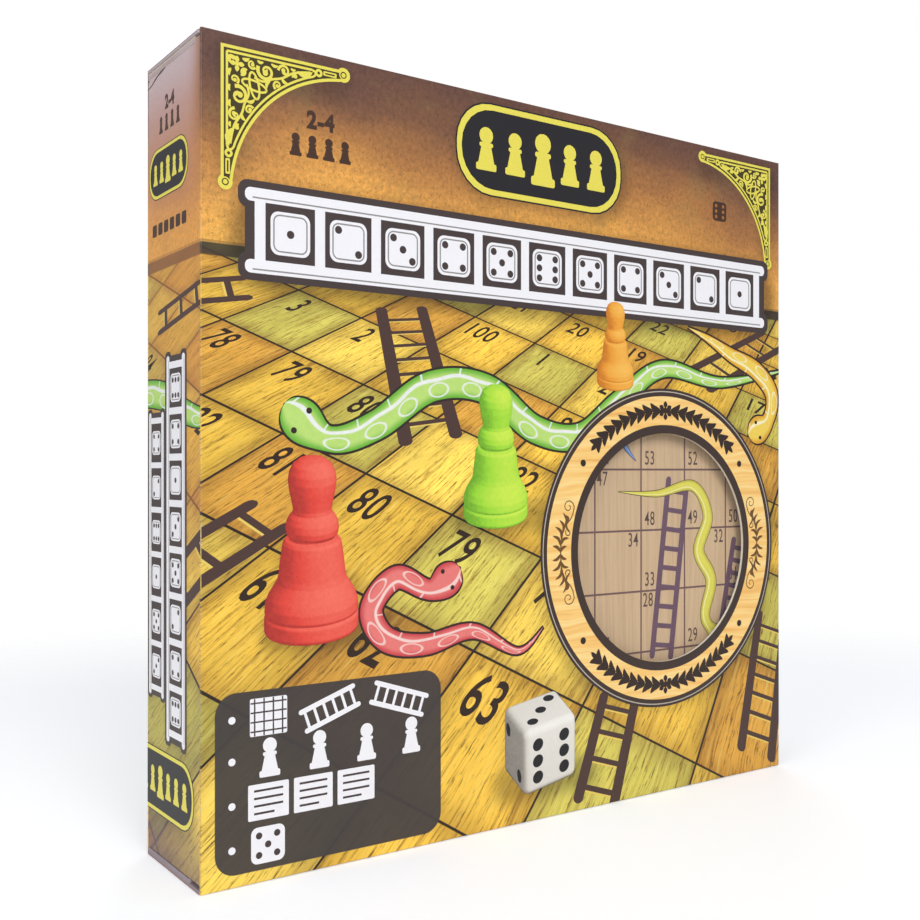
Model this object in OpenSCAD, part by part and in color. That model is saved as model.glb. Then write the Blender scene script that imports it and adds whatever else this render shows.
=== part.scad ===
// Boxed snakes and ladders set: a tuck-top carton with a round window, and what it holds.
// Millimetres. X runs across the front, the front faces -Y, Z is up.
// The origin is the middle of the carton's base. The carton is sized around the game board.

/* [Game board] */
// Width of the wooden game board
game_board_w = 254; // [180:1:320]
// Height of the wooden game board as it stands in the carton
game_board_h = 254; // [180:1:320]
// Thickness of the plywood
game_board_t = 5; // [3:0.5:9]
// Radius of the board's four corners
game_board_corner_r = 2.5; // [1:0.5:12]

/* [Carton stock] */
// Thickness of the carton's board
panel_t = 1.2; // [0.6:0.1:2]
// Outer radius of a folded edge
fold_r = 0.9; // [0.3:0.1:0.9]
// Running clearance between loose pieces and what holds them
play = 0.3; // [0.2:0.05:0.6]

/* [Room in the carton] */
// Space between the front panel and the game board
front_room = 3.9; // [2.8:0.1:8]
// Space left beside the game board
side_room = 10.6; // [4:0.2:24]
// Space between the game board and the top flaps
head_room = 7; // [3:0.5:20]
// Depth of the parts pocket behind the insert
pocket_depth = 34.5; // [24:0.2:60]

/* [Window] */
// Diameter of the round window
window_d = 92.8; // [50:0.2:105]
// Distance of the window's centre from the right edge
window_from_right = 69.8; // [66:0.2:110]
// Height of the window's centre above the base
window_up = 99.3; // [72:0.1:150]
// Thickness of the clear film
film_t = 0.25; // [0.15:0.05:0.5]
// Overlap of the film round the window
film_overlap = 9; // [5:0.5:12]
// Corner radius of the film
film_corner_r = 3; // [1:0.5:4.5]

/* [Tuck lid] */
// Gap between the lid's front fold and the front panel
lid_gap = 0.3; // [0.2:0.05:0.6]
// Radius of the lid's front corners
lid_corner_r = 2; // [0.5:0.5:4]
// Length of the tuck tongue
tongue_l = 10.5; // [7:0.5:12]
// Inward lean of the closed tongue in degrees
tongue_lean = 9.5; // [8:0.5:10]
// Set-back of the tongue from each end of the lid
tongue_inset = 3; // [1.5:0.5:12]
// Radius of the tongue's lower corners
tongue_corner_r = 7; // [2:0.5:7]
// Length of the slit lock at each end of the tongue's fold
slit_l = 6; // [3:0.5:12]
// Width of the slit lock
slit_w = 0.6; // [0.4:0.1:0.8]

/* [Dust flaps] */
// Length of a top dust flap
dust_flap_l = 38; // [24:1:60]
// Gap between the dust flap's front edge and the closed tongue
flap_tongue_gap = 2.3; // [2:0.1:5]
// Radius of the dust flap's free corners
flap_corner_r = 4; // [1:0.5:6]
// Length of a bottom dust flap
bottom_dust_l = 42; // [24:1:60]
// Length of the glued inner flap at the bottom
inner_flap_l = 38; // [22:1:44]

/* [Glue flap] */
// Width of the glue flap that closes the carton's sleeve
glue_flap_w = 14; // [8:0.5:25]

/* [Insert] */
// Thickness of the insert's board
insert_t = 1.2; // [0.6:0.1:2]
// Space between the insert's top edge and the dust flaps
insert_room = 15; // [4:0.5:60]
// Width of the lips folded against the back
insert_lip = 14; // [6:0.5:30]
// Radius of the finger notch in the insert's top edge
finger_r = 16; // [8:0.5:24]
// Width of the glued tabs at the insert's lower corners
tab_w = 16; // [8:1:30]

/* [Pawns] */
// Diameter of a pawn's foot
pawn_d = 15; // [10:0.5:20]
// Space between neighbouring pawns
pawn_gap = 5; // [1:0.5:8]

/* [Die] */
// Edge length of the die
die_w = 16; // [10:0.5:20]
// Radius of the die's edges
die_edge_r = 1.7; // [0.5:0.1:2.5]
// Diameter of a pip
pip_d = 3; // [1.5:0.1:3.2]
// Depth of a pip
pip_depth = 0.5; // [0.2:0.1:0.8]

/* [Instruction leaflet] */
// Width of the folded leaflet
leaflet_w = 105; // [70:1:110]
// Height of the folded leaflet
leaflet_h = 148; // [90:1:160]
// Thickness of the leaflet's paper
paper_t = 0.3; // [0.15:0.05:0.5]
// Space between the leaflet's leaves
leaf_gap = 0.5; // [0.2:0.1:1]

/* [Hidden] */

$fn = 64;
// How far a cutting shape runs past the face it cuts
overrun = 1;

// The stack across the carton's depth, from front to back
carton_d = panel_t + front_room + game_board_t + play + insert_t + pocket_depth + play + 2 * panel_t;
carton_w = game_board_w + side_room + 2 * panel_t;
// The bottom closure is three layers thick, the top closure two
floor_h = 3 * panel_t;
closure_h = 2 * panel_t;
carton_h = floor_h + game_board_h + head_room + closure_h;

left = -carton_w / 2;
right = carton_w / 2;
front = -carton_d / 2;
back = carton_d / 2;
lid_z = carton_h - panel_t;
flap_z = carton_h - closure_h;
lid_front = front + panel_t + lid_gap;

// The game board leans back and stands against the right side panel
game_board_right = right - panel_t - play;
game_board_front = front + panel_t + front_room;
game_board_back = game_board_front + game_board_t;

window_x = right - window_from_right;

insert_front = game_board_back + play;
insert_back = back - 2 * panel_t - play;
insert_left = left + panel_t + play;
insert_right = right - panel_t - play;
insert_floor = floor_h + insert_t;
insert_top = flap_z - insert_room;
pocket_mid_y = (insert_front + insert_t + insert_back) / 2;

printed = [0.80, 0.56, 0.25];
printed_top = [0.42, 0.28, 0.24];
raw_board = [0.72, 0.66, 0.58];

// Straight runs of a flat section along each axis

module along_x(x0, x1) {
    // the section's first axis becomes Y and its second Z
    translate([x0, 0, 0]) rotate([90, 0, 90]) linear_extrude(x1 - x0) children();
}

module along_y(y0, y1) {
    // the section's first axis stays X and its second becomes Z
    translate([0, y1, 0]) rotate([90, 0, 0]) linear_extrude(y1 - y0) children();
}

module along_z(z0, z1) {
    translate([0, 0, z0]) linear_extrude(z1 - z0) children();
}

module box_between(low, high) {
    translate(low) cube(high - low);
}

// A rectangle whose corners are rounded, each by its own radius, in the order
// lower left, lower right, upper right, upper left. A radius of zero leaves it sharp.
module rounded_rect(low, high, radii) {
    corners = [low, [high[0], low[1]], high, [low[0], high[1]]];
    inward = [[1, 1], [-1, 1], [-1, -1], [1, -1]];
    difference() {
        translate(low) square(high - low);
        for (i = [0:3]) if (radii[i] > 0)
            translate(corners[i]) scale([inward[i][0], inward[i][1]]) corner_waste(radii[i]);
    }
}

// What a rounded corner of this radius leaves over, with the corner at the origin
module corner_waste(r) {
    difference() {
        translate([-overrun, -overrun]) square(r + overrun);
        translate([r, r]) circle(r);
    }
}

// Carton sleeve

module front_panel() {
    color(printed) difference() {
        intersection() {
            along_z(0, carton_h)
                rounded_rect([left, front], [right, front + panel_t], [fold_r, fold_r, 0, 0]);
            along_x(left - overrun, right + overrun)
                rounded_rect([front, 0], [front + panel_t, carton_h], [fold_r, 0, 0, 0]);
        }
        translate([window_x, front + panel_t / 2, window_up])
            rotate([90, 0, 0]) cylinder(d = window_d, h = 2 * panel_t, center = true, $fn = 180);
    }
}

module back_panel() {
    color(printed) intersection() {
        along_z(panel_t, lid_z)
            rounded_rect([left, back - panel_t], [right, back], [0, 0, fold_r, fold_r]);
        along_x(left - overrun, right + overrun)
            rounded_rect([back - panel_t, panel_t], [back, lid_z], [0, fold_r, 0, 0]);
    }
}

// A side panel, folded over into the bottom dust flap along its outer lower edge
module side_panel() {
    along_y(front + panel_t, back - panel_t)
        rounded_rect([left, 2 * panel_t], [left + panel_t, flap_z], [fold_r, 0, 0, 0]);
}

module left_side_panel() {
    color(printed) side_panel();
}

module right_side_panel() {
    color(printed) mirror([1, 0, 0]) side_panel();
}

// Glued inside the back panel, mitred at both ends so that it never reaches the end folds
module glue_flap() {
    outer = right - panel_t;
    inner = outer - glue_flap_w;
    color(raw_board) along_y(back - 2 * panel_t, back - panel_t)
        polygon([[outer, floor_h], [outer, flap_z], [inner, flap_z - glue_flap_w], [inner, floor_h + glue_flap_w]]);
}

// Bottom closure, glued: outer flap from the front, inner flap from the back, dust flaps from the sides

module bottom_outer_flap() {
    color(printed) along_z(0, panel_t)
        rounded_rect([left, front + panel_t], [right, back], [0, 0, fold_r, fold_r]);
}

module bottom_inner_flap() {
    color(raw_board) along_z(panel_t, 2 * panel_t)
        rounded_rect([left, back - panel_t - inner_flap_l], [right, back - panel_t], [fold_r, fold_r, 0, 0]);
}

module bottom_dust_flap() {
    reach = left + panel_t + bottom_dust_l;
    color(raw_board) along_z(2 * panel_t, floor_h)
        rounded_rect([left + panel_t, front + panel_t + play], [reach, back - panel_t - play],
                     [0, flap_corner_r, flap_corner_r, 0]);
}

module bottom_dust_flap_left() {
    bottom_dust_flap();
}

module bottom_dust_flap_right() {
    mirror([1, 0, 0]) bottom_dust_flap();
}

// Top closure: the lid folds at the back, its tongue tucks in behind the front panel

module top_lid() {
    color(printed_top) difference() {
        intersection() {
            along_x(left, right)
                rounded_rect([lid_front, lid_z], [back, carton_h], [0, 0, fold_r, fold_r]);
            along_z(lid_z - overrun, carton_h + overrun)
                rounded_rect([left, lid_front], [right, back], [lid_corner_r, lid_corner_r, 0, 0]);
        }
        for (side = [-1, 1]) translate([side * (right - tongue_inset - slit_l / 2), lid_front + panel_t, lid_z])
            cube([slit_l, slit_w, 2 * panel_t + overrun], center = true);
    }
}

// The tongue hangs from the lid's front fold and leans inward
module tuck_tongue() {
    half = right - tongue_inset;
    drop = panel_t + tongue_l;
    color(printed_top) intersection() {
        translate([0, lid_front, carton_h]) rotate([tongue_lean, 0, 0])
            along_y(0, panel_t)
                rounded_rect([-half, -drop], [half, panel_t], [tongue_corner_r, tongue_corner_r, 0, 0]);
        box_between([left, front, lid_z - 2 * tongue_l], [right, back, lid_z]);
    }
}

// Cut away towards the lid's fold, so that the lid always clears the rising flap,
// and held back from the tongue along the front
mitre_share = 0.54;

module top_dust_flap() {
    near_front = lid_front + panel_t + flap_tongue_gap;
    near_back = back - panel_t - play;
    tip = left + dust_flap_l;
    root = left + 2 * panel_t;
    color(raw_board) intersection() {
        along_y(near_front, near_back)
            rounded_rect([left, flap_z], [tip, lid_z], [0, 0, 0, fold_r]);
        along_z(flap_z - overrun, lid_z + overrun) difference() {
            polygon([[left, near_front], [tip, near_front],
                     [tip, near_back - mitre_share * dust_flap_l], [root, near_back], [left, near_back]]);
            translate([tip, near_front]) mirror([1, 0]) corner_waste(flap_corner_r);
        }
    }
}

module top_dust_flap_left() {
    top_dust_flap();
}

module top_dust_flap_right() {
    mirror([1, 0, 0]) top_dust_flap();
}

// Clear film, glued inside the front panel round the window

module window_film() {
    half = window_d / 2 + film_overlap;
    y0 = front + panel_t;
    color([0.85, 0.9, 0.92, 0.3]) along_y(y0, y0 + film_t)
        rounded_rect([window_x - half, window_up - half], [window_x + half, window_up + half],
                     [film_corner_r, film_corner_r, film_corner_r, film_corner_r]);
}

// Insert: one sheet folded into a web behind the game board, two wings, lips, a floor and its tabs

module insert() {
    wing = [insert_left, insert_front];
    far = [insert_right, insert_back];
    inner_r = fold_r / 2;
    color(raw_board) difference() {
        union() {
            along_z(floor_h, insert_top) difference() {
                rounded_rect(wing, far, [fold_r, fold_r, fold_r, fold_r]);
                rounded_rect(wing + [insert_t, insert_t], far - [insert_t, insert_t],
                             [inner_r, inner_r, inner_r, inner_r]);
                translate([insert_left + insert_t + insert_lip, insert_back - insert_t - overrun])
                    square([insert_right - insert_left - 2 * (insert_t + insert_lip), insert_t + 2 * overrun]);
            }
            box_between([insert_left + insert_t, insert_front + insert_t, floor_h],
                        [insert_right - insert_t, insert_back - insert_t, insert_floor]);
            for (side = [0, 1]) mirror([side, 0, 0])
                along_x(insert_left + insert_t, insert_left + 2 * insert_t)
                    rounded_rect([insert_front + insert_t, insert_floor], [insert_back - insert_t, insert_floor + tab_w],
                                 [0, 0, flap_corner_r, flap_corner_r]);
        }
        translate([0, insert_front + insert_t / 2, insert_top])
            rotate([90, 0, 0]) cylinder(r = finger_r, h = 2 * insert_t, center = true, $fn = 96);
    }
}

// Wooden game board

module game_board() {
    r = game_board_corner_r;
    color([0.80, 0.66, 0.48]) along_y(game_board_front, game_board_back)
        rounded_rect([game_board_right - game_board_w, floor_h], [game_board_right, floor_h + game_board_h], [r, r, r, r]);
}

// Turned pawns, standing on the insert's floor

// Points on an arc, angles in degrees from the first to the last
function arc(centre, r, from, to, steps) =
    [for (i = [0:steps]) let (a = from + (to - from) * i / steps) centre + r * [cos(a), sin(a)]];

// The turned outline, as shares of the foot's diameter: radius and height.
// Foot with its groove, round shoulder and cove, body, undercut, collar, neck and egg-shaped head.
foot_shares = [[0, 0], [0.485, 0], [0.5, 0.015], [0.5, 0.075], [0.488, 0.088], [0.5, 0.1]];
shoulder_shares = arc([0.37, 0.28], 0.13, 0, 62, 7);
cove_shares = arc([0.494, 0.561], 0.172, 238, 180, 7);
body_shares = [[0.314, 0.845], [0.3, 0.856], [0.284, 0.862], [0.291, 0.872]];
collar_shares = arc([0.172, 0.96], 0.12, 0, 66, 7);
head_shares = arc([0, 1.47], 0.267, -28, 90, 14);
neck_shares = [[0.217, 1.12], [0.216, 1.18]];

module pawn(place, tint) {
    outline = concat(foot_shares, shoulder_shares, cove_shares, body_shares, collar_shares, neck_shares, head_shares);
    x = insert_right - 2 * insert_t - pawn_d / 2 - play - place * (pawn_d + pawn_gap);
    color(tint) translate([x, pocket_mid_y, insert_floor])
        rotate_extrude($fn = 96) polygon(pawn_d * outline);
}

module pawn_green() {
    pawn(3, [0.55, 0.80, 0.18]);
}

module pawn_red() {
    pawn(2, [0.88, 0.22, 0.18]);
}

module pawn_orange() {
    pawn(1, [0.95, 0.62, 0.16]);
}

module pawn_blue() {
    pawn(0, [0.16, 0.45, 0.80]);
}

// Die: a cube rounded along all its edges, with one to six pips sunk in its faces

// Pip places on a face, in steps from its middle
pips_one = [[0, 0]];
pips_two = [[-1, -1], [1, 1]];
pips_four = [[-1, -1], [1, 1], [-1, 1], [1, -1]];
pip_rows = [pips_one, pips_two, concat(pips_one, pips_two), pips_four, concat(pips_one, pips_four),
            concat(pips_four, [[-1, 0], [1, 0]])];
// Distance between neighbouring pips, as a share of the die's edge
pip_step_share = 0.27;
// How each face is turned to the top, so that opposite faces add up to seven
face_turns = [[0, 0, 0], [90, 0, 0], [0, 90, 0], [0, -90, 0], [-90, 0, 0], [180, 0, 0]];

module rounded_square_bar() {
    h = die_w / 2;
    along_z(-h, h) rounded_rect([-h, -h], [h, h], [die_edge_r, die_edge_r, die_edge_r, die_edge_r]);
}

module die() {
    pip_step = pip_step_share * die_w;
    // A pip is the cap of a ball: this is the ball's radius
    ball_r = (pip_d * pip_d / 4 + pip_depth * pip_depth) / (2 * pip_depth);
    x = insert_right - 2 * insert_t - play - 4 * (pawn_d + pawn_gap) - die_w / 2;
    color([0.93, 0.93, 0.90]) translate([x, pocket_mid_y, insert_floor + die_w / 2]) difference() {
        intersection() {
            rounded_square_bar();
            rotate([90, 0, 0]) rounded_square_bar();
            rotate([0, 90, 0]) rounded_square_bar();
        }
        for (face = [0:5]) rotate(face_turns[face]) for (p = pip_rows[face])
            translate([p[0] * pip_step, p[1] * pip_step, die_w / 2 - pip_depth + ball_r]) sphere(ball_r, $fn = 48);
    }
}

// Instruction leaflet, folded once, standing on the insert's floor against its web

module instruction_leaflet() {
    x0 = insert_left + 2 * insert_t + insert_lip;
    y0 = insert_front + insert_t + play;
    thick = 2 * paper_t + leaf_gap;
    outer_r = thick / 2;
    inner_r = leaf_gap / 2;
    color([0.95, 0.94, 0.90]) along_z(insert_floor, insert_floor + leaflet_h) difference() {
        union() {
            translate([x0 + outer_r, y0]) square([leaflet_w - outer_r, thick]);
            translate([x0 + outer_r, y0 + outer_r]) circle(outer_r);
        }
        translate([x0 + outer_r, y0 + paper_t]) square([leaflet_w, leaf_gap]);
        translate([x0 + outer_r, y0 + outer_r]) circle(inner_r);
    }
}

front_panel();
back_panel();
left_side_panel();
right_side_panel();
glue_flap();
bottom_outer_flap();
bottom_inner_flap();
bottom_dust_flap_left();
bottom_dust_flap_right();
top_lid();
tuck_tongue();
top_dust_flap_left();
top_dust_flap_right();
window_film();
insert();
game_board();
pawn_green();
pawn_red();
pawn_orange();
pawn_blue();
die();
instruction_leaflet();
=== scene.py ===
"""Dresses the boxed snakes and ladders set: its printed carton, the wooden board and the pieces inside.

Lengths are millimetres until a mesh gets its place, and the picture on the carton is measured
from the front's lower left corner: across to the right and up.
"""
import logging
import math
from dataclasses import dataclass
from enum import Enum
from typing import Callable, ClassVar, Dict, Iterable, List, Optional, Sequence, Set, Tuple, Union

import bmesh
import bpy
from mathutils import Matrix, Vector


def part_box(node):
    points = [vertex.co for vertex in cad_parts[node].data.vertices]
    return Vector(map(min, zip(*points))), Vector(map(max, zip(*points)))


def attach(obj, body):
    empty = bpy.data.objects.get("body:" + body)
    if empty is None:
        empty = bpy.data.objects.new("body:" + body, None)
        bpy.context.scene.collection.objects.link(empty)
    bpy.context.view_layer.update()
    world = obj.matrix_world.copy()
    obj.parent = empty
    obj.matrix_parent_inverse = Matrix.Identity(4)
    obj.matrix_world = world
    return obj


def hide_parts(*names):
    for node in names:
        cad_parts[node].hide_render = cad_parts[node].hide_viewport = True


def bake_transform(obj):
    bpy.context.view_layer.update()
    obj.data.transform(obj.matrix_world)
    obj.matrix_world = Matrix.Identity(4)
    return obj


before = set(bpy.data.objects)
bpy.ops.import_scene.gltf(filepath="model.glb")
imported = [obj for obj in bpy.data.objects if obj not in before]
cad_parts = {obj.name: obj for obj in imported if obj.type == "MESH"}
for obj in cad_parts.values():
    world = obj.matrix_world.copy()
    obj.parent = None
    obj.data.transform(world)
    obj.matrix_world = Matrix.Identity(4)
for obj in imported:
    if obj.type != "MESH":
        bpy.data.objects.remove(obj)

logging.basicConfig(level=logging.INFO, format="%(message)s")
LOG = logging.getLogger("boxed_set")

Colour = Tuple[int, int, int]
Point = Tuple[float, float]
Place = Callable[[float, float], Point]
Triple = Tuple[float, float, float]
# Low and high across, low and high up
Crop = Tuple[float, float, float, float]
# Middle across and up, width, height, depth of the tone
Shadow = Tuple[float, float, float, float, float]

MM = 0.001
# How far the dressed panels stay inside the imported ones, so that the print fits over them
CARD_INSET = 0.15
# Thickness of a laid ink, and the step between inks of one sketch that overlap
INK_THICK = 0.03
INK_STEP = 0.0015
# Points nearer than this are one: of a print in millimetres, and of a packed panel in metres
WELD = 0.0005
WELD_PANEL = 1e-6
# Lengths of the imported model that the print's layout is drawn for
WIDTH = 267.0
DEPTH = 48.8
FILM_OVERLAP = 9.0


def cos_sin(degrees: float) -> Point:
    """Cosine and sine of an angle in degrees."""
    angle = math.radians(degrees)
    return math.cos(angle), math.sin(angle)


def placed(name: str, data: bpy.types.ID) -> bpy.types.Object:
    """Makes an object from its data and puts it into the scene.

    Args:
        name: its name.
        data: its mesh, curve, camera or lamp data.

    Returns:
        The new object.
    """
    made = bpy.data.objects.new(name, data)
    bpy.context.scene.collection.objects.link(made)
    return made


def linear(colour: Colour, alpha: float = 1.0) -> Tuple[float, float, float, float]:
    """Turns a screen colour into the renderer's linear one.

    Args:
        colour: red, green and blue from 0 to 255.
        alpha: the fourth value.

    Returns:
        The four linear values.
    """
    def channel(value: int) -> float:
        """One channel, from screen to linear."""
        share = value / 255
        return share / 12.92 if share <= 0.04045 else ((share + 0.055) / 1.055) ** 2.4
    return (channel(colour[0]), channel(colour[1]), channel(colour[2]), alpha)


# Shader maths

class Signal:
    """One output socket of a material, with arithmetic that adds Math nodes."""

    def __init__(self, brew: "Brew", socket: bpy.types.NodeSocket) -> None:
        """Wraps a socket of the material that brew is making."""
        self.brew = brew
        self.socket = socket

    def maths(self, operation: str, *others: "Amount") -> "Signal":
        """This value and the others through one Math node."""
        return self.brew.node("ShaderNodeMath", {"operation": operation}, dict(enumerate((self, *others))))

    def __add__(self, other: "Amount") -> "Signal":
        """Sum."""
        return self.maths("ADD", other)

    __radd__ = __add__

    def __sub__(self, other: "Amount") -> "Signal":
        """Difference."""
        return self.maths("SUBTRACT", other)

    def __rsub__(self, other: float) -> "Signal":
        """Difference, the other way round."""
        return self.brew.node("ShaderNodeMath", {"operation": "SUBTRACT"}, {0: other, 1: self})

    def __mul__(self, other: "Amount") -> "Signal":
        """Product."""
        return self.maths("MULTIPLY", other)

    __rmul__ = __mul__

    def __truediv__(self, other: "Amount") -> "Signal":
        """Quotient."""
        return self.maths("DIVIDE", other)

    def __rtruediv__(self, other: float) -> "Signal":
        """Quotient, the other way round."""
        return self.brew.node("ShaderNodeMath", {"operation": "DIVIDE"}, {0: other, 1: self})

    def __pow__(self, other: "Amount") -> "Signal":
        """Power."""
        return self.maths("POWER", other)

    def __abs__(self) -> "Signal":
        """Size without its sign."""
        return self.maths("ABSOLUTE")

    def low(self, other: "Amount") -> "Signal":
        """The lower of two values."""
        return self.maths("MINIMUM", other)

    def high(self, other: "Amount") -> "Signal":
        """The higher of two values."""
        return self.maths("MAXIMUM", other)

    def floor(self) -> "Signal":
        """The whole number below."""
        return self.maths("FLOOR")

    def fraction(self) -> "Signal":
        """What is left after the whole number."""
        return self.maths("FRACT")

    def cycle(self, length: float) -> "Signal":
        """The remainder after whole lengths."""
        return self.maths("FLOORED_MODULO", length)

    def sine(self) -> "Signal":
        """Sine of an angle in radians."""
        return self.maths("SINE")

    def fade(self, start: float, end: float) -> "Signal":
        """Zero at the start and one at the end, smooth between them.

        Args:
            start: the value that gives zero.
            end: the value that gives one.

        Returns:
            The smooth step.
        """
        if start > end:
            return 1 - self.fade(end, start)
        return self.brew.node("ShaderNodeMapRange", {"interpolation_type": "SMOOTHSTEP"},
                              {0: self, 1: start, 2: end, 3: 0.0, 4: 1.0})


Amount = Union[Signal, float, int]
Tint = Union[Signal, Colour]


class Brew:
    """A material under work."""

    def __init__(self, name: str) -> None:
        """Starts a material with its one shader.

        Args:
            name: the material's name.
        """
        self.material = bpy.data.materials.new(name)
        self.material.use_nodes = True
        self.tree = self.material.node_tree
        self.shader = self.tree.nodes["Principled BSDF"]

    def node(self, kind: str, settings: Dict[str, object], inputs: Dict[Union[int, str], object],
             output: Union[int, str] = 0) -> Signal:
        """Adds one node.

        Args:
            kind: the node's type.
            settings: its settings; "stops" holds a ramp's places and colours.
            inputs: what goes into its sockets, values or signals.
            output: which output is wanted.

        Returns:
            That output as a signal.
        """
        made = self.tree.nodes.new(kind)
        for key, value in settings.items():
            if key == "stops":
                self._set_stops(made.color_ramp, value)
            else:
                setattr(made, key, value)
        for key, value in inputs.items():
            self.feed(made.inputs[key], value)
        return Signal(self, made.outputs[output])

    @staticmethod
    def _set_stops(ramp: bpy.types.ColorRamp, stops: Sequence[Tuple[float, Colour]]) -> None:
        """Gives a ramp its stops.

        Args:
            ramp: the ramp.
            stops: each stop's place and colour.
        """
        while len(ramp.elements) < len(stops):
            ramp.elements.new(0.5)
        for element, (place, colour) in zip(ramp.elements, stops):
            element.position = place
            element.color = linear(colour)

    def feed(self, socket: bpy.types.NodeSocket, value: object) -> None:
        """Links a signal to a socket, or sets the socket's value; three whole numbers are a screen colour.

        Args:
            socket: the socket.
            value: a signal or a plain value.
        """
        if isinstance(value, Signal):
            self.tree.links.new(value.socket, socket)
        elif isinstance(value, tuple) and socket.type == "RGBA":
            socket.default_value = linear(value)
        else:
            socket.default_value = value

    def place(self) -> Tuple[Signal, Signal, Signal]:
        """The surface point in millimetres of the row frame.

        Returns:
            Its X, Y and Z.
        """
        at = self.node("ShaderNodeTexCoord", {}, {}, "Object")
        scaled = self.node("ShaderNodeVectorMath", {"operation": "SCALE"}, {0: at, "Scale": 1 / MM})
        split = self.node("ShaderNodeSeparateXYZ", {}, {0: scaled})
        outs = split.socket.node.outputs
        return Signal(self, outs[0]), Signal(self, outs[1]), Signal(self, outs[2])

    def vector(self, x: Amount, y: Amount, z: Amount) -> Signal:
        """Three values as one vector."""
        return self.node("ShaderNodeCombineXYZ", {}, {0: x, 1: y, 2: z})

    def noise(self, x: Amount, y: Amount, z: Amount, detail: float = 2.0, rough: float = 0.5) -> Signal:
        """Soft noise from 0 to 1 around 0.5, one wave per unit of its inputs."""
        return self.node("ShaderNodeTexNoise", {},
                         {"Vector": self.vector(x, y, z), "Scale": 1.0, "Detail": detail, "Roughness": rough})

    def grain(self, scale: Triple, detail: float = 2.0, rough: float = 0.5) -> Signal:
        """Noise over the surface; scale is its waves to the millimetre along X, Y and Z."""
        return self.noise(*(value * k for value, k in zip(self.place(), scale)), detail, rough)

    def mix(self, share: Amount, a: Tint, b: Tint, blend: str = "MIX") -> Signal:
        """Colour a turning into b as share goes from 0 to 1."""
        return self.node("ShaderNodeMix", {"data_type": "RGBA", "blend_type": blend}, {0: share, 6: a, 7: b}, 2)

    def dim(self, colour: Tint, factor: Signal) -> Signal:
        """A colour times a brightness."""
        grey = self.node("ShaderNodeCombineColor", {}, {0: factor, 1: factor, 2: factor})
        return self.mix(1.0, colour, grey, "MULTIPLY")

    def ramp(self, value: Signal, *stops: Tuple[float, Colour]) -> Signal:
        """A colour that follows a value through stops."""
        return self.node("ShaderNodeValToRGB", {"stops": stops}, {0: value})

    def attribute(self, name: str) -> Signal:
        """A number that the mesh carries at its points."""
        return self.node("ShaderNodeAttribute", {"attribute_name": name}, {}, "Fac")

    def bump(self, height: Signal, depth_mm: float) -> None:
        """Relief from a height of 0 to 1.

        Args:
            height: the relief.
            depth_mm: how deep it goes, in millimetres.
        """
        normal = self.node("ShaderNodeBump", {}, {"Height": height, "Strength": 1.0, "Distance": depth_mm * MM},
                           "Normal")
        self.feed(self.shader.inputs["Normal"], normal)

    def gloss(self, **values: object) -> None:
        """Sets the shader's own sockets, with underscores for spaces."""
        for key, value in values.items():
            self.feed(self.shader.inputs[key.replace("_", " ")], value)

    def satin(self, colour: Tint, roughness: float = 0.42) -> None:
        """Gives a colour the varnish of the carton's print."""
        self.gloss(Base_Color=colour, Roughness=roughness, Specular_IOR_Level=0.4)


# Finishes

@dataclass(frozen=True)
class Finish:
    """How one kind of surface looks. Pieces with a finish of the same name share one material."""

    name: str
    made: ClassVar[Dict[str, bpy.types.Material]] = {}

    def dress(self, brew: Brew) -> None:
        """Adds the nodes of this finish."""
        raise NotImplementedError

    def material(self) -> bpy.types.Material:
        """Makes the material once and keeps it by its name.

        Returns:
            The material.
        """
        if self.name not in self.made:
            brew = Brew("look_" + self.name)
            self.dress(brew)
            self.made[self.name] = brew.material
        return self.made[self.name]


@dataclass(frozen=True)
class Ink(Finish):
    """Printed colour under the carton's satin varnish, a little uneven."""

    colour: Colour
    uneven: float = 0.12
    roughness: float = 0.42

    def dress(self, brew: Brew) -> None:
        """One ink with fine mottling.

        Args:
            brew: the material under work.
        """
        mottle = brew.grain((0.9, 0.9, 0.9), 4.0, 0.65)
        brew.satin(brew.dim(self.colour, 1 + (mottle - 0.5) * (2 * self.uneven)), self.roughness)


@dataclass(frozen=True)
class RawBoard(Finish):
    """Uncoated board: pulp flecks and fibres."""

    colour: Colour
    fleck: Colour

    def dress(self, brew: Brew) -> None:
        """Pulp with flecks and a soft fibre relief.

        Args:
            brew: the material under work.
        """
        cloud = brew.grain((0.05, 0.05, 0.05), 3.0)
        fibre = brew.grain((1.6, 1.6, 0.5), 4.0, 0.7)
        base = brew.dim(self.colour, 0.93 + cloud * 0.14)
        brew.gloss(Base_Color=brew.mix(fibre.fade(0.58, 0.72) * 0.5, base, self.fleck),
                   Roughness=0.9, Specular_IOR_Level=0.2)
        brew.bump(fibre, 0.05)


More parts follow.
